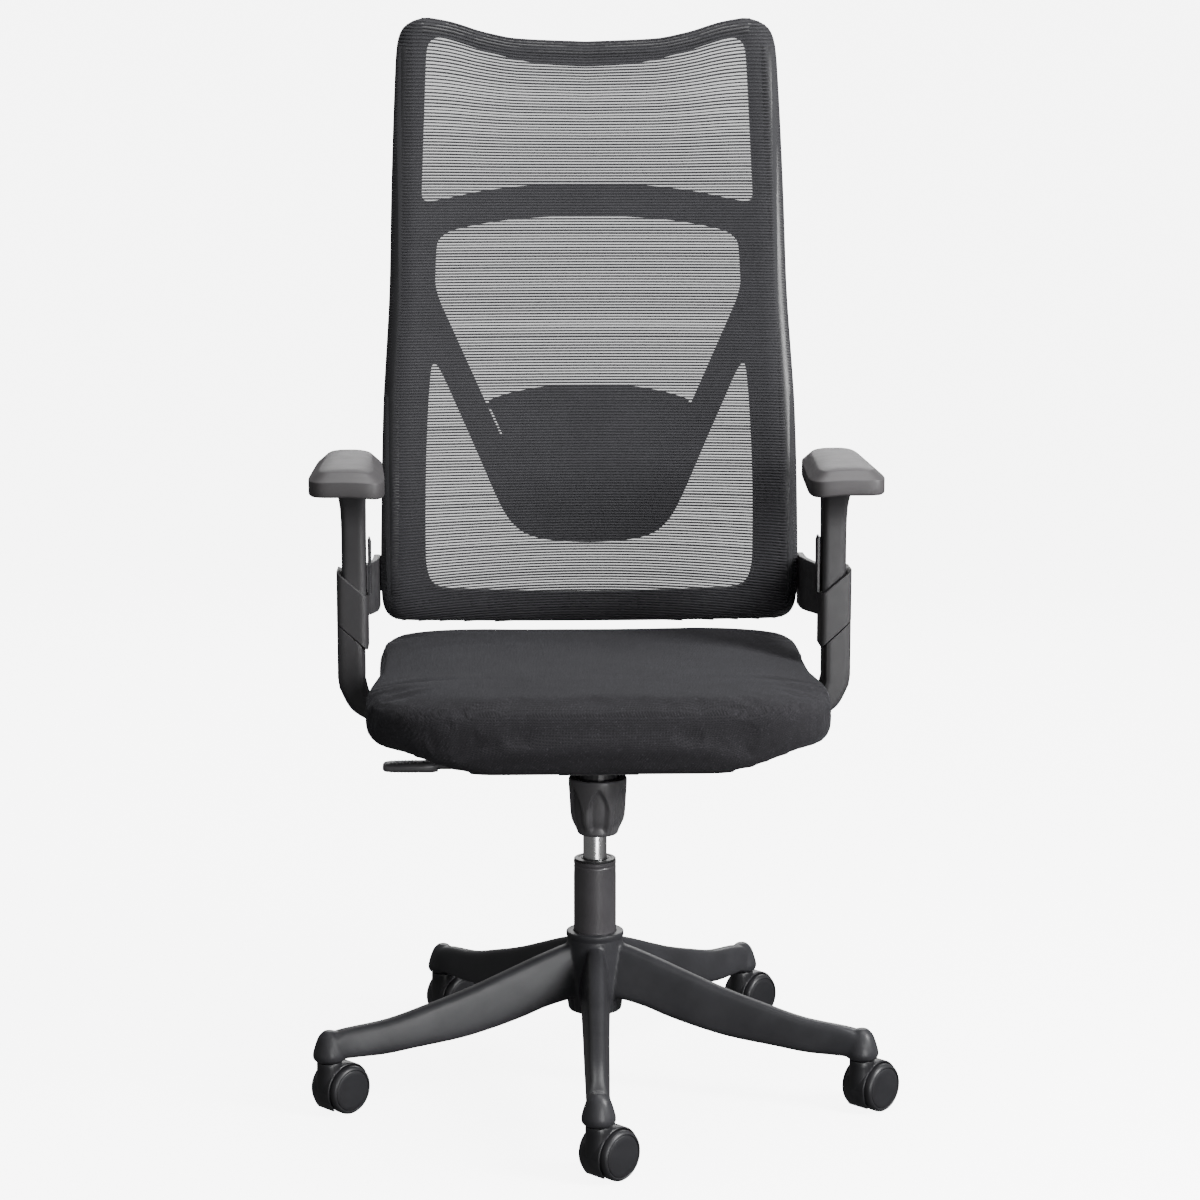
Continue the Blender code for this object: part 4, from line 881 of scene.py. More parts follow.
# ------------------------------------------------------------------- star base
def make_base():
    stations = list(np.linspace(0.012, 0.324, 46))
    leg = loft([[(r, y, z) for _, y, z in chaikin(leg_section(r), 2)] for r in stations])
    zs = np.linspace(0.1120, BELL_BOTTOM, 34)
    table = [(z, r) for r, z in BELL[1:-1]]
    bell = lathe([(0, 0.1125)] + [(float(spline(table, z)), float(z)) for z in zs] + [(0, BELL_BOTTOM)], 48)
    leg = joined(leg, moved(bell, Matrix.Translation((STEM_RADIUS, 0, 0))))
    core = lathe([(0, 0.1985), (0.0322, 0.1985), (0.0330, 0.197), (0.0330, 0.150), (0.0328, 0.118), (0.0318, 0.1095),
                  (0.0306, HUB_BOTTOM), (0, HUB_BOTTOM)], 72)
    parts = [core]
    for k in range(5):
        parts.append(copy_of(leg, leg_matrix(k)))
    leg.free()
    base = remeshed(joined(*parts), 0.0019, 7, 0.5)
    for v in base.verts:
        r = math.hypot(v.co.x, v.co.y)
        if r < 0.036 and v.co.z < 0.130:
            a = math.atan2(v.co.y, v.co.x)
            deep = 0.0013 * max(0.0, math.cos(a * 15)) ** 2 * float(smooth(0.130, 0.121, v.co.z)) * float(smooth(0.106, 0.111, v.co.z))
            v.co.x *= 1 - deep / r
            v.co.y *= 1 - deep / r
    base = cut(base, cylinder(0.0256, 0.09, 0.22, 72))
    for k in range(5):
        p = stem_point(k)
        base = cut(base, cylinder(STEM_R + 0.0002, 0.0700, 0.1035, 32, at=(p.x, p.y, 0)))
    put("star_base_skin", base, "nylon", "star_base", sharp=50)
    collar = lathe([(0.0256, 0.2036), (0.0326, 0.2036), (0.0336, 0.2031), (0.0340, 0.2020), (0.0340, 0.1985),
                    (0.0334, 0.1972), (0.0330, 0.1950), (0.0256, 0.1950)], 96, closed=True)
    put("hub_collar", collar, "nylon", body="base", bevel=0.0003)

    # column tube with its crimp groove and two locating dimples
    zs = [0.1085] + list(np.linspace(0.112, 0.268, 14)) + list(np.linspace(0.270, TUBE_TOP - 0.0006, 26))
    rings = []
    count = 120
    for z in zs:
        ring = []
        for i in range(count):
            a = 2 * math.pi * i / count
            r = TUBE_R - 0.0008 * math.exp(-((z - 0.2835) / 0.0009) ** 2)
            for side in (0.0, math.pi):
                turn = (a - side + math.pi) % (2 * math.pi) - math.pi
                far = math.hypot(turn * TUBE_R, z - 0.2770)
                r -= 0.0011 * math.exp(-(far / 0.0022) ** 2)
            ring.append((r * math.cos(a), r * math.sin(a), z))
        rings.append(ring)
    lip = lambda r, z: [(r * math.cos(2 * math.pi * i / count), r * math.sin(2 * math.pi * i / count), z) for i in range(count)]
    rings += [lip(0.0247, TUBE_TOP - 0.0002), lip(0.0243, TUBE_TOP), lip(0.0236, TUBE_TOP), lip(0.0234, TUBE_TOP - 0.0004),
              lip(0.0234, 0.1115), lip(0.0060, 0.1115), lip(0.0060, 0.1080), lip(0.0245, 0.1080)]
    put("column_tube", loft(rings, closed=True), "column", "gas_tube")
    bush = lathe([(0.0232, 0.2300), (0.0232, 0.2890), (0.0236, 0.2894), (0.0245, 0.2896), (0.0247, 0.2902), (0.0246, 0.2910),
                  (0.0240, 0.2916), (0.0196, 0.2918), (0.0190, 0.2912), (0.0164, 0.2912), (0.0158, 0.2918), (0.0147, 0.2916),
                  (0.0143, 0.2908), (0.0143, 0.2300)], 96, closed=True)
    put("column_bush", bush, "bush", "guide_bush")


# --------------------------------------------------------------------- casters
def make_casters():
    def at(u, z, w):
        p = TRAIL_DIR * (TRAIL + u) + AXLE_DIR * w
        return (p.x, p.y, z)

    def arc(r, first, last, steps):
        out = []
        for i in range(steps + 1):
            a = math.radians(first + (last - first) * i / steps)
            out.append((-r * math.cos(a), AXLE_Z + r * math.sin(a)))
        return out

    def shell_ring(w, r_out, r_in):
        return [at(u, z, w) for u, z in arc(r_out, -44, 149, 44) + arc(r_in, 149, -44, 44)]

    half = HOOD_HALF
    shell = loft([shell_ring(w, ro, 0.0295) for w, ro in (
        (-half, HOOD_R - 0.0012), (-half + 0.0004, HOOD_R - 0.0005), (-half + 0.0014, HOOD_R),
        (half - 0.0014, HOOD_R), (half - 0.0004, HOOD_R - 0.0005), (half, HOOD_R - 0.0012))])
    web = prism(arc(0.0300, -43, 148, 40) + arc(0.0105, 170, 285, 14), at, -0.0071, 0.0071)
    neck = lathe([(0, BELL_BOTTOM - 0.0005), (0.0132, BELL_BOTTOM - 0.0005), (0.0141, BELL_BOTTOM - 0.0009),
                  (0.0146, BELL_BOTTOM - 0.0020), (0.0146, 0.0680), (0.0150, 0.0600), (0.0158, 0.0520), (0.0158, 0.0430), (0, 0.0430)], 56)
    axle_turn = Matrix.Translation(Vector(at(0, AXLE_Z, 0))) @ Matrix(
        ((TRAIL_DIR.x, 0, AXLE_DIR.x, 0), (TRAIL_DIR.y, 0, AXLE_DIR.y, 0), (0, -1, 0, 0), (0, 0, 0, 1)))
    if axle_turn.to_3x3().determinant() < 0:
        axle_turn = axle_turn @ Matrix.Scale(-1, 4, (0, 1, 0))
    hood = union(neck, web)
    for low, high in ((0.0074, 0.05), (-0.05, -0.0074)):
        hood = cut(hood, moved(cylinder(0.0296, low, high, 72), axle_turn))
    hood = union(hood, shell)
    hood = cut(hood, cylinder(STEM_R + FIT, STEM_BOTTOM - 0.0010, 0.09, 32),
               moved(cylinder(0.0033, -0.02, 0.02, 24), axle_turn))
    tread = AXLE_Z - FLOOR_Z - 0.00005
    profile = [(0, 0.0217), (0.0180, 0.0219), (0.0222, 0.0216), (0.0230, 0.0212), (0.0233, 0.0206), (0.0238, 0.0206), (0.0241, 0.0214),
               (0.0246, 0.0219), (0.0254, 0.0217), (0.0264, 0.0211), (0.0272, 0.0203), (0.0279, 0.0193), (tread, 0.0178), (tread, 0.0108), (0.0279, 0.0092),
               (0.0270, 0.0083), (0.0262, WHEEL_IN), (0.0120, WHEEL_IN), (0.0116, 0.0088), (0.0034, 0.0088), (0.0034, 0.0188), (0, 0.0188)]
    wheel = lathe(profile, 72, phase=math.pi / 2)
    wheel_b = copy_of(wheel, axle_turn @ Matrix.Scale(-1, 4, (0, 0, 1)))
    wheel_a = moved(wheel, axle_turn)
    for k in range(5):
        move = Matrix.Translation(stem_point(k))
        n = k + 1
        put("hood_shell_%d" % n, copy_of(hood, move), "caster", "caster_hood_%d" % n,
            bevel=0.0005, segments=2, angle=50)
        put("wheel_tread_%da" % n, copy_of(wheel_a, move), "wheel", "wheel_%da" % n, sharp=24)
        put("wheel_tread_%db" % n, copy_of(wheel_b, move), "wheel", "wheel_%db" % n, sharp=24)
        stem = lathe([(0, STEM_BOTTOM), (0.0045, STEM_BOTTOM), (STEM_R - 0.0001, STEM_BOTTOM + 0.0006), (STEM_R - 0.0001, 0.0740), (0.0045, 0.0745),
                      (0.0045, 0.0752), (STEM_R - 0.0001, 0.0757), (STEM_R - 0.0001, 0.1020), (0.0042, 0.1029), (0, 0.1029)], 32)
        put("stem_pin_%d" % n, moved(stem, move), "steel", "caster_stem_%d" % n)
    for bm in (hood, wheel_a, wheel_b):
        bm.free()


# ---------------------------------------------------------- column and mechanism
def petal_radius(z, angle):
    """The knob's skin: pointed scoops between six ribs."""
    r = float(spline([(0.345, 0.0216), (0.3458, 0.0226), (0.350, 0.0244), (0.356, 0.0272), (0.362, 0.0298), (0.368, 0.0310),
                      (0.390, 0.0325), (0.4070, 0.0334), (0.4098, 0.0332), (0.411, 0.0322)], z))
    a = (angle / (math.pi / 3)) % 1.0
    off = abs(a - 0.5) * 2
    scoop = float(smooth(0.93, 0.45, off))
    arch = float(smooth(0.4035 - 0.034 * off ** 1.6, 0.3955 - 0.034 * off ** 1.6, z))
    foot = float(smooth(0.3465, 0.3580, z))
    return r - 0.0046 * scoop * arch * foot


def make_mechanism():
    rod = lathe([(0, 0.3836), (0.0028, 0.3836), (0.0028, CYLINDER_TOP - 0.0002), (0.0122, CYLINDER_TOP - 0.0002), (0.0132, CYLINDER_TOP - 0.0008),
                 (ROD_R, CYLINDER_TOP - 0.0030), (ROD_R, 0.1902), (0.0114, 0.1902), (0.0114, 0.3650), (0, 0.3650)], 96)
    put("chrome_cylinder", rod, "chrome", "gas_cylinder", sharp=30)

    count = 168
    levels = list(np.linspace(0.345, 0.350, 7)) + list(np.linspace(0.3512, 0.4090, 54)) + [0.4096, 0.4103, 0.4110]
    circle = lambda r, z: [(r * math.cos(2 * math.pi * i / count), KNOB_Y + r * math.sin(2 * math.pi * i / count), z) for i in range(count)]
    rings = [circle(0.0043, 0.3451), circle(0.0140, 0.3451), circle(0.0148, 0.3455), circle(0.0160, 0.3451)]
    for z in levels:
        ring = []
        for i in range(count):
            a = 2 * math.pi * i / count + math.pi / 6
            r = petal_radius(z, a)
            ring.append((r * math.cos(a), KNOB_Y + r * math.sin(a), z))
        rings.append(ring)
    rings += [circle(0.0310, 0.4111), circle(0.0252, 0.4111), circle(0.0246, 0.4105), circle(0.0241, 0.3722), circle(0.0150, 0.3722),
              circle(0.0044, 0.3722)]
    put("petal_knob", loft(rings, closed=True), "knob", "tension_knob", sharp=38)

    turns, coil_r, wire, low, high = 4.5, 0.0140, 0.0016, 0.3741, 0.4168
    steps = int(turns * 32)
    line = []
    for i in range(steps + 1):
        t = i / steps
        a = 2 * math.pi * turns * t
        line.append((coil_r * math.cos(a), KNOB_Y + coil_r * math.sin(a), low + 0.0004 + (high - low - 0.0008) * t))
    spring = put("coil_spring", tube(line, wire, 12), "steel", "tension_spring")
    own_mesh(spring)

    # lever: round rod and a flat paddle with finger ribs
    bar = moved(lathe([(0, -0.1980), (0.0036, -0.1980), (0.0040, -0.1976), (0.0040, -0.0364), (0.0036, -0.0360), (0, -0.0360)], 32),
                Matrix.Translation((0, LEVER_Y, LEVER_Z)) @ Matrix.Rotation(math.pi / 2, 4, "Y"))
    put("lever_bar", bar, "mechanism", "lever_rod")
    xs = np.concatenate([np.linspace(-0.1830, -0.1900, 8), np.linspace(-0.1915, -0.2400, 60), np.linspace(-0.2410, -0.2470, 9)])
    half_y = [(-0.1830, 0.0072), (-0.1900, 0.0108), (-0.2050, 0.0130), (-0.2400, 0.0139), (-0.2445, 0.0126), (-0.2470, 0.0088)]
    half_z = [(-0.1830, 0.0058), (-0.1900, 0.0066), (-0.2050, 0.0062), (-0.2400, 0.0052), (-0.2450, 0.0044), (-0.2470, 0.0024)]
    rings = []
    for x in xs:
        hy, hz = float(spline(half_y, x)), float(spline(half_z, x))
        rib = 0.00055 * max(0.0, math.sin((x + 0.206) / 0.0040 * 2 * math.pi)) * float(smooth(-0.205, -0.209, x)) * float(smooth(-0.241, -0.236, x))
        ring = []
        for y, z in superellipse(hy, hz, 3.2, 40):
            ring.append((x, LEVER_Y + y, 0.4088 + z + (rib if z > 0 else -rib) * float(smooth(0.0135, 0.010, abs(y)))))
        rings.append(ring)
    paddle = cut(loft(rings), cylinder(0.0043, -0.2000, -0.1700, 32, "X", (0, LEVER_Y, LEVER_Z)))
    put("lever_grip", paddle, "knob", "lever_paddle", sharp=50)


# ------------------------------------------------------------------------ seat
def seat_plan(inset, count):
    """The cover's plan: the seat's outline with fuller corners."""
    out = []
    for k in range(count):
        a = 2 * math.pi * (k + 0.5) / count
        c, s = math.sin(a), math.cos(a)
        n = 5.0 + 5.4 * float(smooth(-0.1, 0.5, s))
        m = (abs(c) ** n + abs(s) ** n) ** (-1 / n)
        x, y = c * m, s * m
        py = (SEAT_FRONT + SEAT_REAR) / 2 + y * ((SEAT_REAR - SEAT_FRONT) / 2 - inset)
        # full in front of the arms, and drawn in where they pass
        half = 0.2565 + 0.0115 * float(smooth(0.010, -0.150, py)) + 0.0030 * float(smooth(0.07, 0.13, py))
        out.append((x * (half - inset), py))
    return out


def cushion_form(count, grow):
    """The padded seat's skin as quads, its lower edge wrapped round the pan's rim. grow moves its outside in or out."""
    board_top = SHELL_Z + 0.0042 + 0.0005 + 0.0100
    scale = lambda ring, k: [(x * k, -0.0195 + (y + 0.0195) * k) for x, y in ring]
    full = seat_plan(-grow, count)
    rings = []
    for k, lift in ((0.30, 0.0022), (0.45, 0.0022), (0.62, 0.0022), (0.78, 0.0022), (0.90, 0.0022), (0.925, 0.0026), (0.940, -0.0030)):
        rings.append([(x, y, board_top + float(dish(x, y)) + lift) for x, y in scale(seat_outline(0.0, count), k)])

    def under(x, y):
        near_arm = float(smooth(0.060, 0.036, abs(y - ARM_Y))) * float(smooth(0.15, 0.19, abs(x)))
        return SHELL_Z + float(dish(x, y)) - 0.0052 * (1 - near_arm) + 0.0012 * near_arm

    for k, up in ((0.943, 0.0030), (0.948, 0.0006), (0.958, 0.0), (0.970, 0.0008), (0.981, 0.0034)):
        rings.append([(x, y, under(x, y) + up) for x, y in scale(full, k)])
    side = [(0.10, 0.990), (0.18, 0.9965), (0.30, 1.0), (0.45, 1.0), (0.60, 1.0), (0.73, 0.996), (0.82, 0.989), (0.895, 0.978), (0.945, 0.964),
            (0.975, 0.945), (0.991, 0.915), (0.997, 0.86), (0.9995, 0.76), (1.0, 0.64), (1.0, 0.50), (1.0, 0.34), (1.0, 0.20), (1.0, 0.08)]
    for t, k in side:
        ring = []
        for x, y in scale(full, k):
            low = under(x, y)
            z = low + (SEAT_TOP - low) * t
            waterfall = 0.006 * float(smooth(-0.10, -0.25, y)) * float(smooth(0.49, 0.53, z))
            rise = 0.0045 * float(smooth(0.08, 0.20, y)) * float(smooth(0.50, 0.525, z))
            ring.append((x, y, z + grow * t - waterfall + rise))
        rings.append(ring)
    return loft(rings)


def seam_paths(surface):
    """Both side seams: along the side, then down round the front corner."""
    paths = []
    for side in (1, -1):
        line = []
        for t in np.linspace(0, 1, 90):
            y = 0.165 - 0.400 * t
            z = 0.5150 - 0.0600 * float(smooth(0.70, 1.0, t)) ** 1.3
            start = Vector((side * 0.40, y if y > -0.17 else -0.17 + (y + 0.17) * 2.4, z))
            aim = Vector((0, y if y > -0.12 else -0.12, z))
            hit = surface.ray_cast(start, (aim - start).normalized())
            if hit[0] is not None:
                line.append(hit[0])
        for _ in range(6):
            line = [line[0]] + [(a + b * 2 + c) / 4 for a, b, c in zip(line, line[1:], line[2:])] + [line[-1]]
        paths.append(line)
    return paths


def make_cushion():
    bm = cushion_form(160, -0.0045)
    bm = remeshed(bm, 0.0055, 2, 0.5)
    mesh = bpy.data.meshes.new("seat_cover")
    bm.to_mesh(mesh)
    bm.free()
    obj = bpy.data.objects.new("seat_cover", mesh)
    bpy.context.scene.collection.objects.link(obj)
    start = np.empty(len(mesh.vertices) * 3)
    mesh.vertices.foreach_get("co", start)
    start = start.reshape(-1, 3)
    tree = BVHTree.FromPolygons([tuple(v) for v in start], [tuple(p.vertices) for p in mesh.polygons])
    seams = seam_paths(tree)
    # the cover is held at its underside and along its seams, and the foam pushes it out between them
    hold = obj.vertex_groups.new(name="hold")
    points = np.array([tuple(p) for line in seams for p in line])
    for i, p in enumerate(start):
        low = float(smooth(0.468, 0.456, p[2]))
        near = float(np.min(np.linalg.norm(points - p, axis=1)))
        weight = max(low, float(smooth(0.010, 0.004, near)))
        if weight > 0:
            hold.add([i], weight, "REPLACE")
    cloth = obj.modifiers.new("cloth", "CLOTH")
    s = cloth.settings
    s.quality = 4
    s.mass = 0.35
    s.tension_stiffness = s.compression_stiffness = 22
    s.shear_stiffness = 8
    s.bending_stiffness = 1.5
    s.use_pressure = True
    s.uniform_pressure_force = 4.0
    s.vertex_group_mass = "hold"
    s.effector_weights.gravity = 0.0
    cloth.collision_settings.use_collision = False
    cloth.point_cache.frame_start, cloth.point_cache.frame_end = 1, 20
    scene = bpy.context.scene
    scene.frame_start, scene.frame_end = 1, 20
    for f in range(1, 21):
        scene.frame_set(f)
    result = evaluated(obj)
    after = np.empty(len(result.vertices) * 3)
    result.vertices.foreach_get("co", after)
    after = after.reshape(-1, 3)
    bpy.data.meshes.remove(result)
    obj.modifiers.remove(cloth)
    obj.vertex_groups.clear()
    scene.frame_set(1)
    move = after - start
    far = np.linalg.norm(move, axis=1)
    cap = 0.0060
    move *= (cap * np.tanh(far / cap) / np.maximum(far, 1e-9))[:, None]
    print("cushion: cloth moved up to %.1f mm, capped at %.1f" % (1000 * far.max(), 1000 * cap))
    done = start + move
    mesh.vertices.foreach_set("co", done.reshape(-1))
    bm = bmesh.new()
    bm.from_mesh(mesh)
    bpy.data.objects.remove(obj, do_unlink=True)
    bpy.data.meshes.remove(mesh)
    bmesh.ops.recalc_face_normals(bm, faces=bm.faces)
    bmesh.ops.subdivide_edges(bm, edges=list(bm.edges), cuts=1, use_grid_fill=True)
    bmesh.ops.smooth_vert(bm, verts=bm.verts, factor=0.5, use_axis_x=True, use_axis_y=True, use_axis_z=True)
    # a sewn groove along each seam, with a row of pulled puckers beside it
    bm.normal_update()
    bm.verts.ensure_lookup_table()
    tree = BVHTree.FromBMesh(bm)
    seams = seam_paths(tree)
    lines = [np.array([tuple(p) for p in line]) for line in seams]
    for v in bm.verts:
        if abs(v.co.x) < 0.15 or v.co.z < 0.44:
            continue
        line = lines[0] if v.co.x > 0 else lines[1]
        d = np.linalg.norm(line - np.array(tuple(v.co)), axis=1)
        i = int(d.argmin())
        if d[i] < 0.016:
            pucker = 0.25 * math.sin(i * 1.9 + v.co.y * 400) * math.exp(-((d[i] - 0.006) / 0.004) ** 2)
            v.co -= v.normal * (0.0021 * math.exp(-(d[i] / 0.0036) ** 2) + 0.0010 * pucker)
    # soft drag lines in the cover near the front corners, where it's stretched over the foam
    for v in bm.verts:
        x, y, z = v.co
        if z > 0.455:
            w = float(smooth(0.10, 0.22, abs(x))) * float(smooth(-0.05, -0.20, y))
            fold = math.sin((abs(x) * 0.9 + y * 1.3) * 230 + 2.2 * math.sin(y * 55)) * w
            broad = math.sin(x * 31 + 0.8) * math.sin(y * 37 + x * 9)
            v.co -= v.normal * (0.00008 * fold + 0.0003 * broad * float(smooth(0.50, 0.525, z)))
    tree = BVHTree.FromBMesh(bm)
    cover = put("seat_cushion_cover", bm, "seat", "seat_cushion", sharp=80)
    for name, line in zip(("left", "right"), seams):
        welt = []
        for p in line:
            near = tree.find_nearest(p)
            welt.append(tuple(near[0] + near[1] * 0.0004))
        put("seat_welt_" + name, tube(welt, 0.0011, 8), "seam", body="seat")
        # a row of stitches along one side of each seam
        bits = []
        for i in range(1, len(line) - 1):
            a, b = line[i], line[i + 1]
            along = (b - a).normalized()
            near = tree.find_nearest(a)
            across = along.cross(near[1]).normalized()
            for off in (-0.0050,):
                p = tree.find_nearest(a + across * off)
                q = tree.find_nearest(a + along * min(0.0028, (b - a).length * 0.62) + across * off)
                bits.append(tube([tuple(p[0] - p[1] * 0.0001), tuple((p[0] + q[0]) / 2 + p[1] * 0.0003), tuple(q[0] - q[1] * 0.0001)], 0.00035, 5))
        put("seat_stitch_" + name, joined(*bits), "seam", body="seat")


def make_seat():
    scale = lambda ring, k: [(x * k, -0.0195 + (y + 0.0195) * k) for x, y in ring]
    outer = seat_outline(0.020, 160)
    rim = seat_outline(0.0192, 160)
    low = lambda x, y: SHELL_Z + float(dish(x, y))
    rings = []
    for ring, dz in ((scale(outer, 0.30), 0.0), (scale(outer, 0.45), 0.0), (scale(outer, 0.60), 0.0), (scale(outer, 0.70), 0.0),
                     (scale(outer, 0.78), 0.0), (scale(outer, 0.84), 0.0), (scale(outer, 0.90), 0.0), (scale(outer, 0.94), 0.0),
                     (scale(outer, 0.97), 0.0), (scale(outer, 0.99), 0.0002), (rim, 0.0014), (rim, 0.0034),
                     (scale(outer, 0.992), 0.0044), (scale(outer, 0.97), 0.0042), (scale(outer, 0.90), 0.0042), (scale(outer, 0.84), 0.0042),
                     (scale(outer, 0.78), 0.0042), (scale(outer, 0.70), 0.0042), (scale(outer, 0.60), 0.0042), (scale(outer, 0.45), 0.0042), (scale(outer, 0.30), 0.0042)):
        rings.append([(x, y, low(x, y) + dz) for x, y in ring])
    put("seat_pan", loft(rings), "shell", "seat_shell", sharp=45)
    # moulded ribs and screws on the underside, clear of the mechanism and the arm tongues
    bits = []
    for y in (-0.195, -0.172, 0.128, 0.150):
        xs = np.linspace(-0.14, 0.14, 15)
        bits.append(loft([[(x, y - 0.0011, low(x, y) + 0.001), (x, y + 0.0011, low(x, y) + 0.001),
                           (x, y + 0.0007, low(x, y) - 0.0030), (x, y - 0.0007, low(x, y) - 0.0030)] for x in xs]))
    put("pan_ribs", joined(*bits), "shell", body="seat")
    heads = []
    for x in (-0.070, 0.070):
        for y in (-0.135, 0.090):
            heads.append(moved(lathe([(0, 0), (0.0062, 0), (0.0062, -0.0010), (0.0050, -0.0032), (0.0024, -0.0036), (0.0022, -0.0018), (0, -0.0018)], 32),
                               Matrix.Translation((x, y, PLATE_BOTTOM))))
    put("plate_screws", joined(*heads), "steel", body="seat")


# ------------------------------------------------------------------------ arms
def make_arm(side, suffix):
    flip = Matrix.Scale(side, 4, (1, 0, 0))
    path = [
        (0.105, 0.4350, 0.0048, 0.0260, 0), (0.150, 0.4350, 0.0050, 0.0265, 2), (0.195, 0.4395, 0.0070, 0.0270, 12),
        (0.232, 0.4500, 0.0080, 0.0275, 24), (0.256, 0.4620, 0.0080, 0.0280, 36), (0.2745, 0.4790, 0.0125, 0.0280, 55),
        (0.2830, 0.4990, 0.0150, 0.0280, 80),
    ]
    rings = []
    fine = np.linspace(0, len(path) - 1, 43)
    rows = np.array(path)
    smoothrow = [[float(spline([(i, rows[i, c]) for i in range(len(path))], t)) for c in range(5)] for t in fine]
    for x, z, t, d, heading in smoothrow:
        a = math.radians(heading)
        nx, nz = -math.sin(a), math.cos(a)
        rings.append([(x + nx * u, ARM_Y + v, z + nz * u) for u, v in superellipse(t, d, 7.0, 48)])
    xi, xo = 0.2680, 0.2995
    for z_in, z_out in ((0.5080, 0.5080), (0.5200, 0.5300), (0.5320, 0.5560), (0.5430, 0.5716), (0.5436, 0.5725)):
        ring = []
        for u, v in superellipse((xo - xi) / 2, 0.028, 7.0, 48):
            x = (xi + xo) / 2 - u
            ring.append((x, ARM_Y + v, z_in + (z_out - z_in) * (x - xi) / (xo - xi)))
        rings.append(ring)
    bracket = loft(rings)
    bracket = cut(bracket, box(0.2712, 0.2928, ARM_Y - 0.0173, ARM_Y + 0.0173, 0.5030, 0.60),
                  box(0.2650, 0.2940, ARM_Y - 0.0225, ARM_Y + 0.0225, 0.5486, 0.60))
    put("bracket_shell_" + suffix, moved(bracket, flip), "arm", "arm_bracket_" + suffix, bevel=0.0007, angle=40)

    rings = []
    for t in (0.0, 0.012, 0.5, 0.985, 1.0):
        edge = 0.0007 if t in (0.0, 1.0) else 0.0
        ring = []
        for u, v in superellipse(0.0180 - edge, 0.0280 - edge, 8.0, 72):
            x = 0.2815 + u
            lo = 0.5405 + (0.5735 - 0.5405) * (x - 0.2635) / 0.036
            hi = 0.6030 + (0.6340 - 0.6030) * (x - 0.2635) / 0.036
            ring.append((x, ARM_Y + v, lo + (hi - lo) * t))
        rings.append(ring)
    sleeve = cut(loft(rings), box(0.2652, 0.2938, ARM_Y - 0.0223, ARM_Y + 0.0223, 0.50, 0.66))
    put("sleeve_shell_" + suffix, moved(sleeve, flip), "arm", "arm_sleeve_" + suffix, bevel=0.0006, angle=40)

    rings = []
    table = ((0.5435, 0.0105, 0.0170, 0.2820, ARM_Y), (0.5893, 0.0105, 0.0170, 0.2820, ARM_Y), (0.5896, 0.0133, 0.0213, POST_X, ARM_Y),
             (0.5904, 0.0140, 0.0220, POST_X, ARM_Y), (0.6800, 0.0140, 0.0220, POST_X, ARM_Y), (0.6930, 0.0142, 0.0232, POST_X, ARM_Y - 0.001),
             (0.7060, 0.0145, 0.0250, POST_X + 0.0003, ARM_Y - 0.002), (0.7150, 0.0151, 0.0287, POST_X + 0.0006, ARM_Y - 0.004),
             (0.7230, 0.0160, 0.0330, POST_X + 0.0010, ARM_Y - 0.006), (0.7290, 0.0169, 0.0378, POST_X + 0.0015, ARM_Y - 0.008),
             (0.7336, 0.0178, 0.0420, POST_X + 0.0020, ARM_Y - 0.010))
    for z, hx, hy, cx, cy in table:
        rings.append([(x, y, z) for x, y in superellipse(hx, hy, 6.0, 72, cx, cy)])
    put("post_shell_" + suffix, moved(loft(rings), flip), "arm", "arm_post_" + suffix, sharp=30)

    toe = Matrix.Translation((0.284, 0.006, 0)) @ Matrix.Rotation(math.radians(-1.3), 4, "Z")
    rings = []
    for z, inset in ((PAD_BOTTOM, 0.0060), (PAD_BOTTOM, 0.0032), (0.7343, 0.0018), (0.7352, 0.0006), (0.7368, 0.0), (0.7440, 0.0), (0.7506, 0.0),
                     (0.7513, 0.0001), (0.7519, 0.0006), (0.7524, 0.0013), (0.7566, 0.0060), (0.7605, 0.0105), (0.7611, 0.0114), (0.7616, 0.0125),
                     (0.7621, 0.0145), (0.7630, 0.0190), (0.7637, 0.0250), (0.7640, 0.0300), (0.7640, 0.0345)):
        ring = []
        for x, y in superellipse(1.0, 1.0, 6.5, 144):
            y = y * (0.1240 - inset)
            x = x * (0.0405 - 0.0040 * y / 0.124 - inset)
            lower = 0.0020 if z > 0.74 else 0.003
            zz = z - lower * float(smooth(0.0, 0.043, -x)) * (0.0 if z < 0.7342 else 1.0)
            ring.append((x, y, zz))
        rings.append(ring)
    pad = put("pad_cover_" + suffix, moved(moved(loft(rings), toe), flip), "pad", "arm_pad_" + suffix, sharp=40)

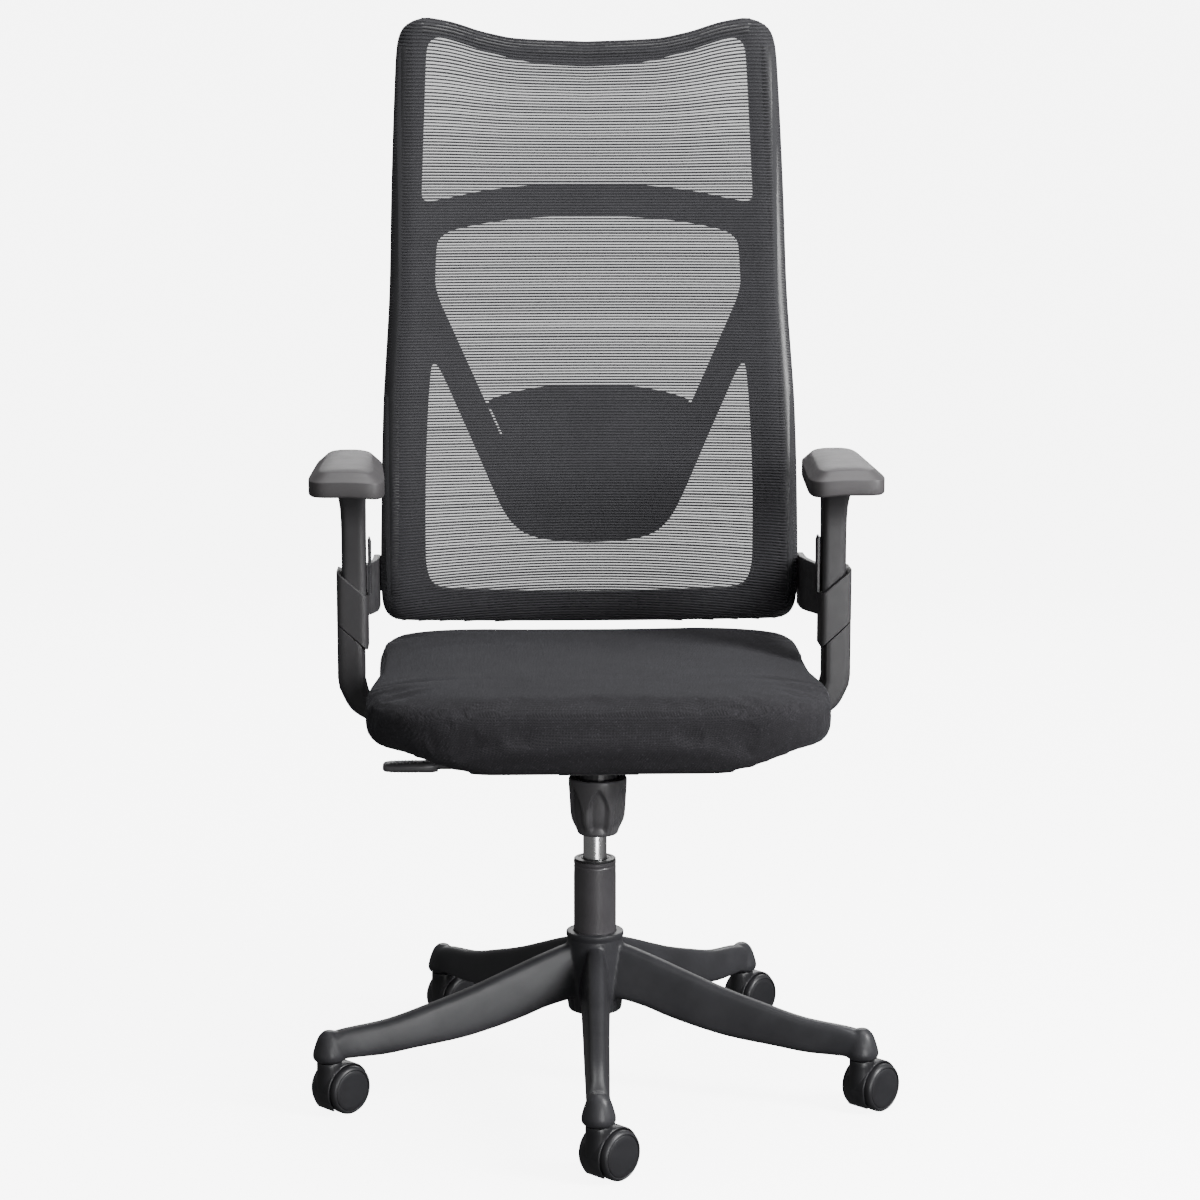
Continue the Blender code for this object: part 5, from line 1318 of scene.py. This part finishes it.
    rings = []
    sections = ((0.2865, 0.0506, 0.0055), (0.2862, 0.0750, 0.0048), (0.2830, 0.1050, 0.0042),
                (0.2750, 0.1350, 0.0040), (0.2660, 0.1560, 0.0040), (0.2612, 0.1750, 0.0040), (0.2605, 0.1960, 0.0040),
                (0.2605, 0.2128, 0.0040))
    rows = np.array(sections)
    line = [[float(spline([(i, rows[i, c]) for i in range(len(rows))], t)) for c in range(3)] for t in np.linspace(0, len(rows) - 1, 49)]
    out = []
    for i, (x, y, t) in enumerate(line):
        a, b = line[max(i - 1, 0)], line[min(i + 1, len(line) - 1)]
        d = Vector((b[0] - a[0], b[1] - a[1], 0)).normalized()
        nrm = Vector((d.y, -d.x, 0))
        lo, hi, rim, web = 0.558, 0.611 + 0.011 * float(smooth(0.05, 0.18, y)), 0.006, t * 0.55
        ring = [(-t, lo + 0.001), (-t + 0.001, lo), (t - 0.001, lo), (t, lo + 0.001), (t, lo + rim), (web + 0.0006, lo + rim + 0.0012), (web, lo + rim + 0.003),
                (web, hi - rim - 0.003), (web + 0.0006, hi - rim - 0.0012), (t, hi - rim), (t, hi - 0.001), (t - 0.001, hi), (-t + 0.001, hi), (-t, hi - 0.001)]
        out.append([(x + nrm.x * u, y + nrm.y * u, z) for u, z in ring])
    lug = box(0.2370, 0.2600, 0.2090, 0.2130, 0.5770, 0.6210, 0.0008)
    put("link_band_" + suffix, moved(union(loft(out), lug), flip), "arm", "back_link_" + suffix, sharp=28)


# ------------------------------------------------------------------------ back
def front_of(x, z, outline):
    """Depth of the frame's front face at a point, with the rolled edge."""
    pts = np.stack([np.asarray(x, float), np.asarray(z, float)], axis=1)
    d = edge_distance(pts, outline)
    return back_surface(pts[:, 0], pts[:, 1]) + RAIL_ROLL_DEPTH * (1 - np.clip(d / RAIL_ROLL, 0, 1)) ** 2


def cord_height(x, level):
    """Height of the cord that crosses the middle at level, out at x."""
    a = abs(x)
    deep = max(0.0, 1.2440 - level)
    top = (float(spline(TOP_EDGE, a)) - 1.2440) * math.exp(-((deep / 0.078) ** 1.5))
    low = -0.0125 * (a / 0.24) ** 2 * float(smooth(0.74, 0.56, level))
    return level + top + low


def make_back():
    outline = chaikin(back_outline(3), 1)
    holes = [chaikin(h, 2) for h in (top_window(2), middle_window(2), lower_window())]
    inner = []
    for offset in (0.0030, 0.0060, 0.0090, 0.0120, 0.0150, RAIL_ROLL):
        for z in np.linspace(1.235, 0.575, 67):
            half = float(spline(HALF_WIDTH, min(max(z, 0.56), 1.224)))
            inner += [(half - offset, z), (offset - half, z)]
    for x in np.linspace(-0.2, 0.2, 41):
        for offset in (0.0035, 0.0070, 0.0105, 0.0140, 0.0175):
            inner.append((x, float(spline(TOP_EDGE, abs(x))) - offset))
        inner.append((x, 1.0430 - 0.02 * abs(x)))
        inner.append((x, 0.5550))
    inner = [p for p, ok in zip(inner, inside(inner, outline)) if ok]
    solid = np.ones(len(inner), bool)
    for hole in holes:
        solid &= ~inside(inner, hole)
        solid &= edge_distance(inner, hole) > 0.0015
    solid &= edge_distance(inner, outline) > 0.0012
    inner = [p for p, ok in zip(inner, solid) if ok]
    verts, faces = flat_mesh(outline, holes, inner)
    d = edge_distance(verts, outline)
    roll = RAIL_ROLL_DEPTH * (1 - np.clip(d / RAIL_ROLL, 0, 1)) ** 2
    base = back_surface(verts[:, 0], verts[:, 1])
    thick = FRAME_THICK - 0.004 * smooth(0.19, 0.10, np.abs(verts[:, 0]))
    # the rear of each rail is rounded towards its edges
    gap = d.copy()
    for hole in holes:
        gap = np.minimum(gap, edge_distance(verts, hole))
    thick = thick - 0.0030 * (1 - np.clip(gap / 0.008, 0, 1)) ** 2
    frame_bm = sheet_solid(verts, faces, base + roll, base + thick)
    put("frame_moulding", frame_bm, "frame", "back_frame", sharp=40, bevel=0.0009, segments=2, angle=55)

    # screws that join the frame to the arm links, from behind
    heads = []
    for sx in (1, -1):
        for z in (0.588, 0.610):
            x = sx * 0.2475
            y = 0.2129
            heads.append(moved(lathe([(0, 0.0030), (0.0021, 0.0030), (0.0023, 0.0046), (0.0052, 0.0040), (0.0066, 0.0022), (0.0068, 0.0), (0, 0.0)], 32),
                               Matrix.Translation((x, y, z)) @ Matrix.Rotation(-math.pi / 2, 4, "X")))
    put("frame_screws", joined(*heads), "steel", body="seat")

    # cords across the whole back, in front of the frame
    stations = 27
    verts_all, faces_all = [], []
    sides = 6
    pitch = 0.00345
    level = 1.2425
    rng = np.random.default_rng(7)
    edge_loop = np.array(outline)
    while level > 0.536:
        span = np.linspace(0.0, 0.262, 263)
        heights = np.array([cord_height(x, level) for x in span])
        ok = inside(np.stack([span, heights], axis=1), outline)
        if ok.any():
            last = span[: int(np.argmin(ok)) if not ok.all() else len(span)]
            reach = float(last[-1]) - 0.0004 if len(last) > 2 else 0.0
            if reach > 0.03:
                t = np.linspace(-1, 1, stations)
                xs = reach * np.sign(t) * np.abs(t) ** 0.85
                zs = np.array([cord_height(x, level) for x in xs])
                ys = front_of(xs, zs, outline) - 0.0005 - MESH_THICK * 0.55
                thick_z = 0.00106 * (1 + 0.10 * rng.standard_normal())
                start = len(verts_all)
                for x, y, z in zip(xs, ys, zs):
                    for j in range(sides):
                        a = 2 * math.pi * j / sides
                        verts_all.append((x, y + 0.00052 * math.sin(a), z + thick_z * math.cos(a)))
                for i in range(stations - 1):
                    for j in range(sides):
                        q = (j + 1) % sides
                        a, b = start + i * sides, start + (i + 1) * sides
                        faces_all.append((a + j, a + q, b + q, b + j))
                faces_all.append(tuple(start + j for j in range(sides))[::-1])
                end = start + (stations - 1) * sides
                faces_all.append(tuple(end + j for j in range(sides)))
        level -= pitch
    mesh = bpy.data.meshes.new("tmp")
    mesh.from_pydata(verts_all, [], faces_all)
    bm = bmesh.new()
    bm.from_mesh(mesh)
    bpy.data.meshes.remove(mesh)
    cords = put("back_mesh_cords", bm, "cords", body="seat", sharp=80)

    # the fine ground threads behind the cords, as one open layer
    grid = []
    for z in np.linspace(1.265, 0.545, 49):
        for x in np.linspace(-0.245, 0.245, 31):
            grid.append((x, z))
    grid = [p for p, ok in zip(grid, inside(grid, outline)) if ok]
    grid = [p for p, far in zip(grid, edge_distance(grid, outline)) if far > 0.004]
    verts, faces = flat_mesh(outline, [], grid)
    y = front_of(verts[:, 0], verts[:, 1], outline) - 0.00062
    bm = bmesh.new()
    made = [bm.verts.new((v[0], yy, v[1])) for v, yy in zip(verts, y)]
    for f in faces:
        bm.faces.new([made[i] for i in f])
    threads = put("back_mesh_sheet", bm, "veil", "back_mesh", sharp=80)
    area = 0.0
    pts = np.array(outline)
    area = 0.5 * abs(float(np.dot(pts[:, 0], np.roll(pts[:, 1], -1)) - np.dot(pts[:, 1], np.roll(pts[:, 0], -1))))
    print("back outline area %.4f m2" % area)

    # lumbar shield with a louvred upper panel
    low = [(0, 0.6668), (0.030, 0.6690), (0.053, 0.6765), (0.0685, 0.6890), (0.0763, 0.7040), (0.0968, 0.7500), (0.1149, 0.7900), (0.1225, 0.8070)]
    high = [(0, 0.8280), (0.050, 0.8270), (0.084, 0.8220), (0.105, 0.8170), (0.1225, 0.8110)]
    us = np.linspace(-1, 1, 181)
    vs = np.linspace(0, 1, 49)
    front, rear = [], []
    for v in vs:
        f, r = [], []
        for u in us:
            x = u * 0.1222
            z0, z1 = float(spline(low, abs(x))), float(spline(high, abs(x)))
            z = z0 + (z1 - z0) * v
            room = min(z - z0, z1 - z, (0.1222 - abs(x)) * 0.9)
            edge = float(smooth(0.0, 0.006, room))
            panel = float(smooth(0.735, 0.752, z)) * float(smooth(0.0, 0.012, z1 - z - 0.004)) * float(smooth(0.005, 0.014, room))
            slat = 0.0009 * panel * (0.5 - 0.5 * math.cos(2 * math.pi * x / 0.0054))
            y = float(back_surface(x, z))
            f.append((x, y + 0.0030 + 0.0016 * (1 - edge) + slat, z))
            r.append((x, y + 0.0080 - 0.0012 * (1 - edge), z))
        front.append(f)
        rear.append(r)
    bm = bmesh.new()
    a = [[bm.verts.new(p) for p in row] for row in front]
    b = [[bm.verts.new(p) for p in row] for row in rear]
    for i in range(len(vs) - 1):
        for j in range(len(us) - 1):
            bm.faces.new((a[i][j], a[i][j + 1], a[i + 1][j + 1], a[i + 1][j]))
            bm.faces.new((b[i][j], b[i + 1][j], b[i + 1][j + 1], b[i][j + 1]))
    rimloop = [(0, j) for j in range(len(us))] + [(i, len(us) - 1) for i in range(1, len(vs))] + \
              [(len(vs) - 1, j) for j in range(len(us) - 2, -1, -1)] + [(i, 0) for i in range(len(vs) - 2, 0, -1)]
    for (i, j), (k, l) in zip(rimloop, rimloop[1:] + rimloop[:1]):
        bm.faces.new((a[i][j], b[i][j], b[k][l], a[k][l]))
    put("lumbar_shield", bm, "lumbar", "lumbar_pad", sharp=40)

    # thin carrier plate behind the frame, a little wider than the shield
    levels = np.linspace(0.6612, 0.8060, 44)
    sides = np.linspace(-1, 1, 41)
    near, far = [], []
    for z in levels:
        half = float(np.interp(z + 0.0058, [p[1] for p in low], [p[0] for p in low])) + 0.0035
        left = half - 0.0065 * float(smooth(0.7665, 0.7700, z)) * (1 - float(smooth(0.7980, 0.8010, z)))
        row = [(u * (half if u > 0 else left), z) for u in sides]
        near.append([(x, float(back_surface(x, z)) + 0.0190, z) for x, z in row])
        far.append([(x, float(back_surface(x, z)) + 0.0205, z) for x, z in row])
    bm = bmesh.new()
    a = [[bm.verts.new(p) for p in row] for row in near]
    b = [[bm.verts.new(p) for p in row] for row in far]
    for i in range(len(levels) - 1):
        for j in range(len(sides) - 1):
            bm.faces.new((a[i][j], a[i][j + 1], a[i + 1][j + 1], a[i + 1][j]))
            bm.faces.new((b[i][j], b[i + 1][j], b[i + 1][j + 1], b[i][j + 1]))
    rimloop = [(0, j) for j in range(len(sides))] + [(i, len(sides) - 1) for i in range(1, len(levels))] + \
              [(len(levels) - 1, j) for j in range(len(sides) - 2, -1, -1)] + [(i, 0) for i in range(len(levels) - 2, 0, -1)]
    for (i, j), (k, l) in zip(rimloop, rimloop[1:] + rimloop[:1]):
        bm.faces.new((a[i][j], b[i][j], b[k][l], a[k][l]))
    put("lumbar_carrier", bm, "lumbar", body="lumbar", sharp=40)


# ----------------------------------------------------------- carried-over nodes
def dress_nodes():
    looks = {"caster_axle": ("caster", 0.0002), "piston_rod": ("steel", 0.0002), "thrust_bearing": ("steel", 0.0002),
             "release_pin": ("steel", 0.0003), "mech_housing": ("mechanism", 0.0012), "tilt_pin": ("steel", 0.0004),
             "lever_rocker": ("mechanism", 0.0008), "tension_bolt": ("steel", 0.0004), "seat_plate": ("mechanism", 0.0010),
             "seat_board": ("wood", 0.0), "arm_button": ("caster", 0.0005)}
    for name, node in frame["nodes"].items():
        for start, (look, width) in looks.items():
            if name.startswith(start):
                if not node.material_slots:
                    node.data.materials.append(M[look])
                for s in node.material_slots:
                    s.material = M[look]
                if width:
                    weld = node.modifiers.new("weld", "WELD")
                    weld.merge_threshold = 0.00001
                    soften(node, width, 2, 35)


make_stage()
make_base()
make_casters()
make_mechanism()
make_seat()
make_cushion()
make_arm(1, "left")
make_arm(-1, "right")
make_back()
dress_nodes()
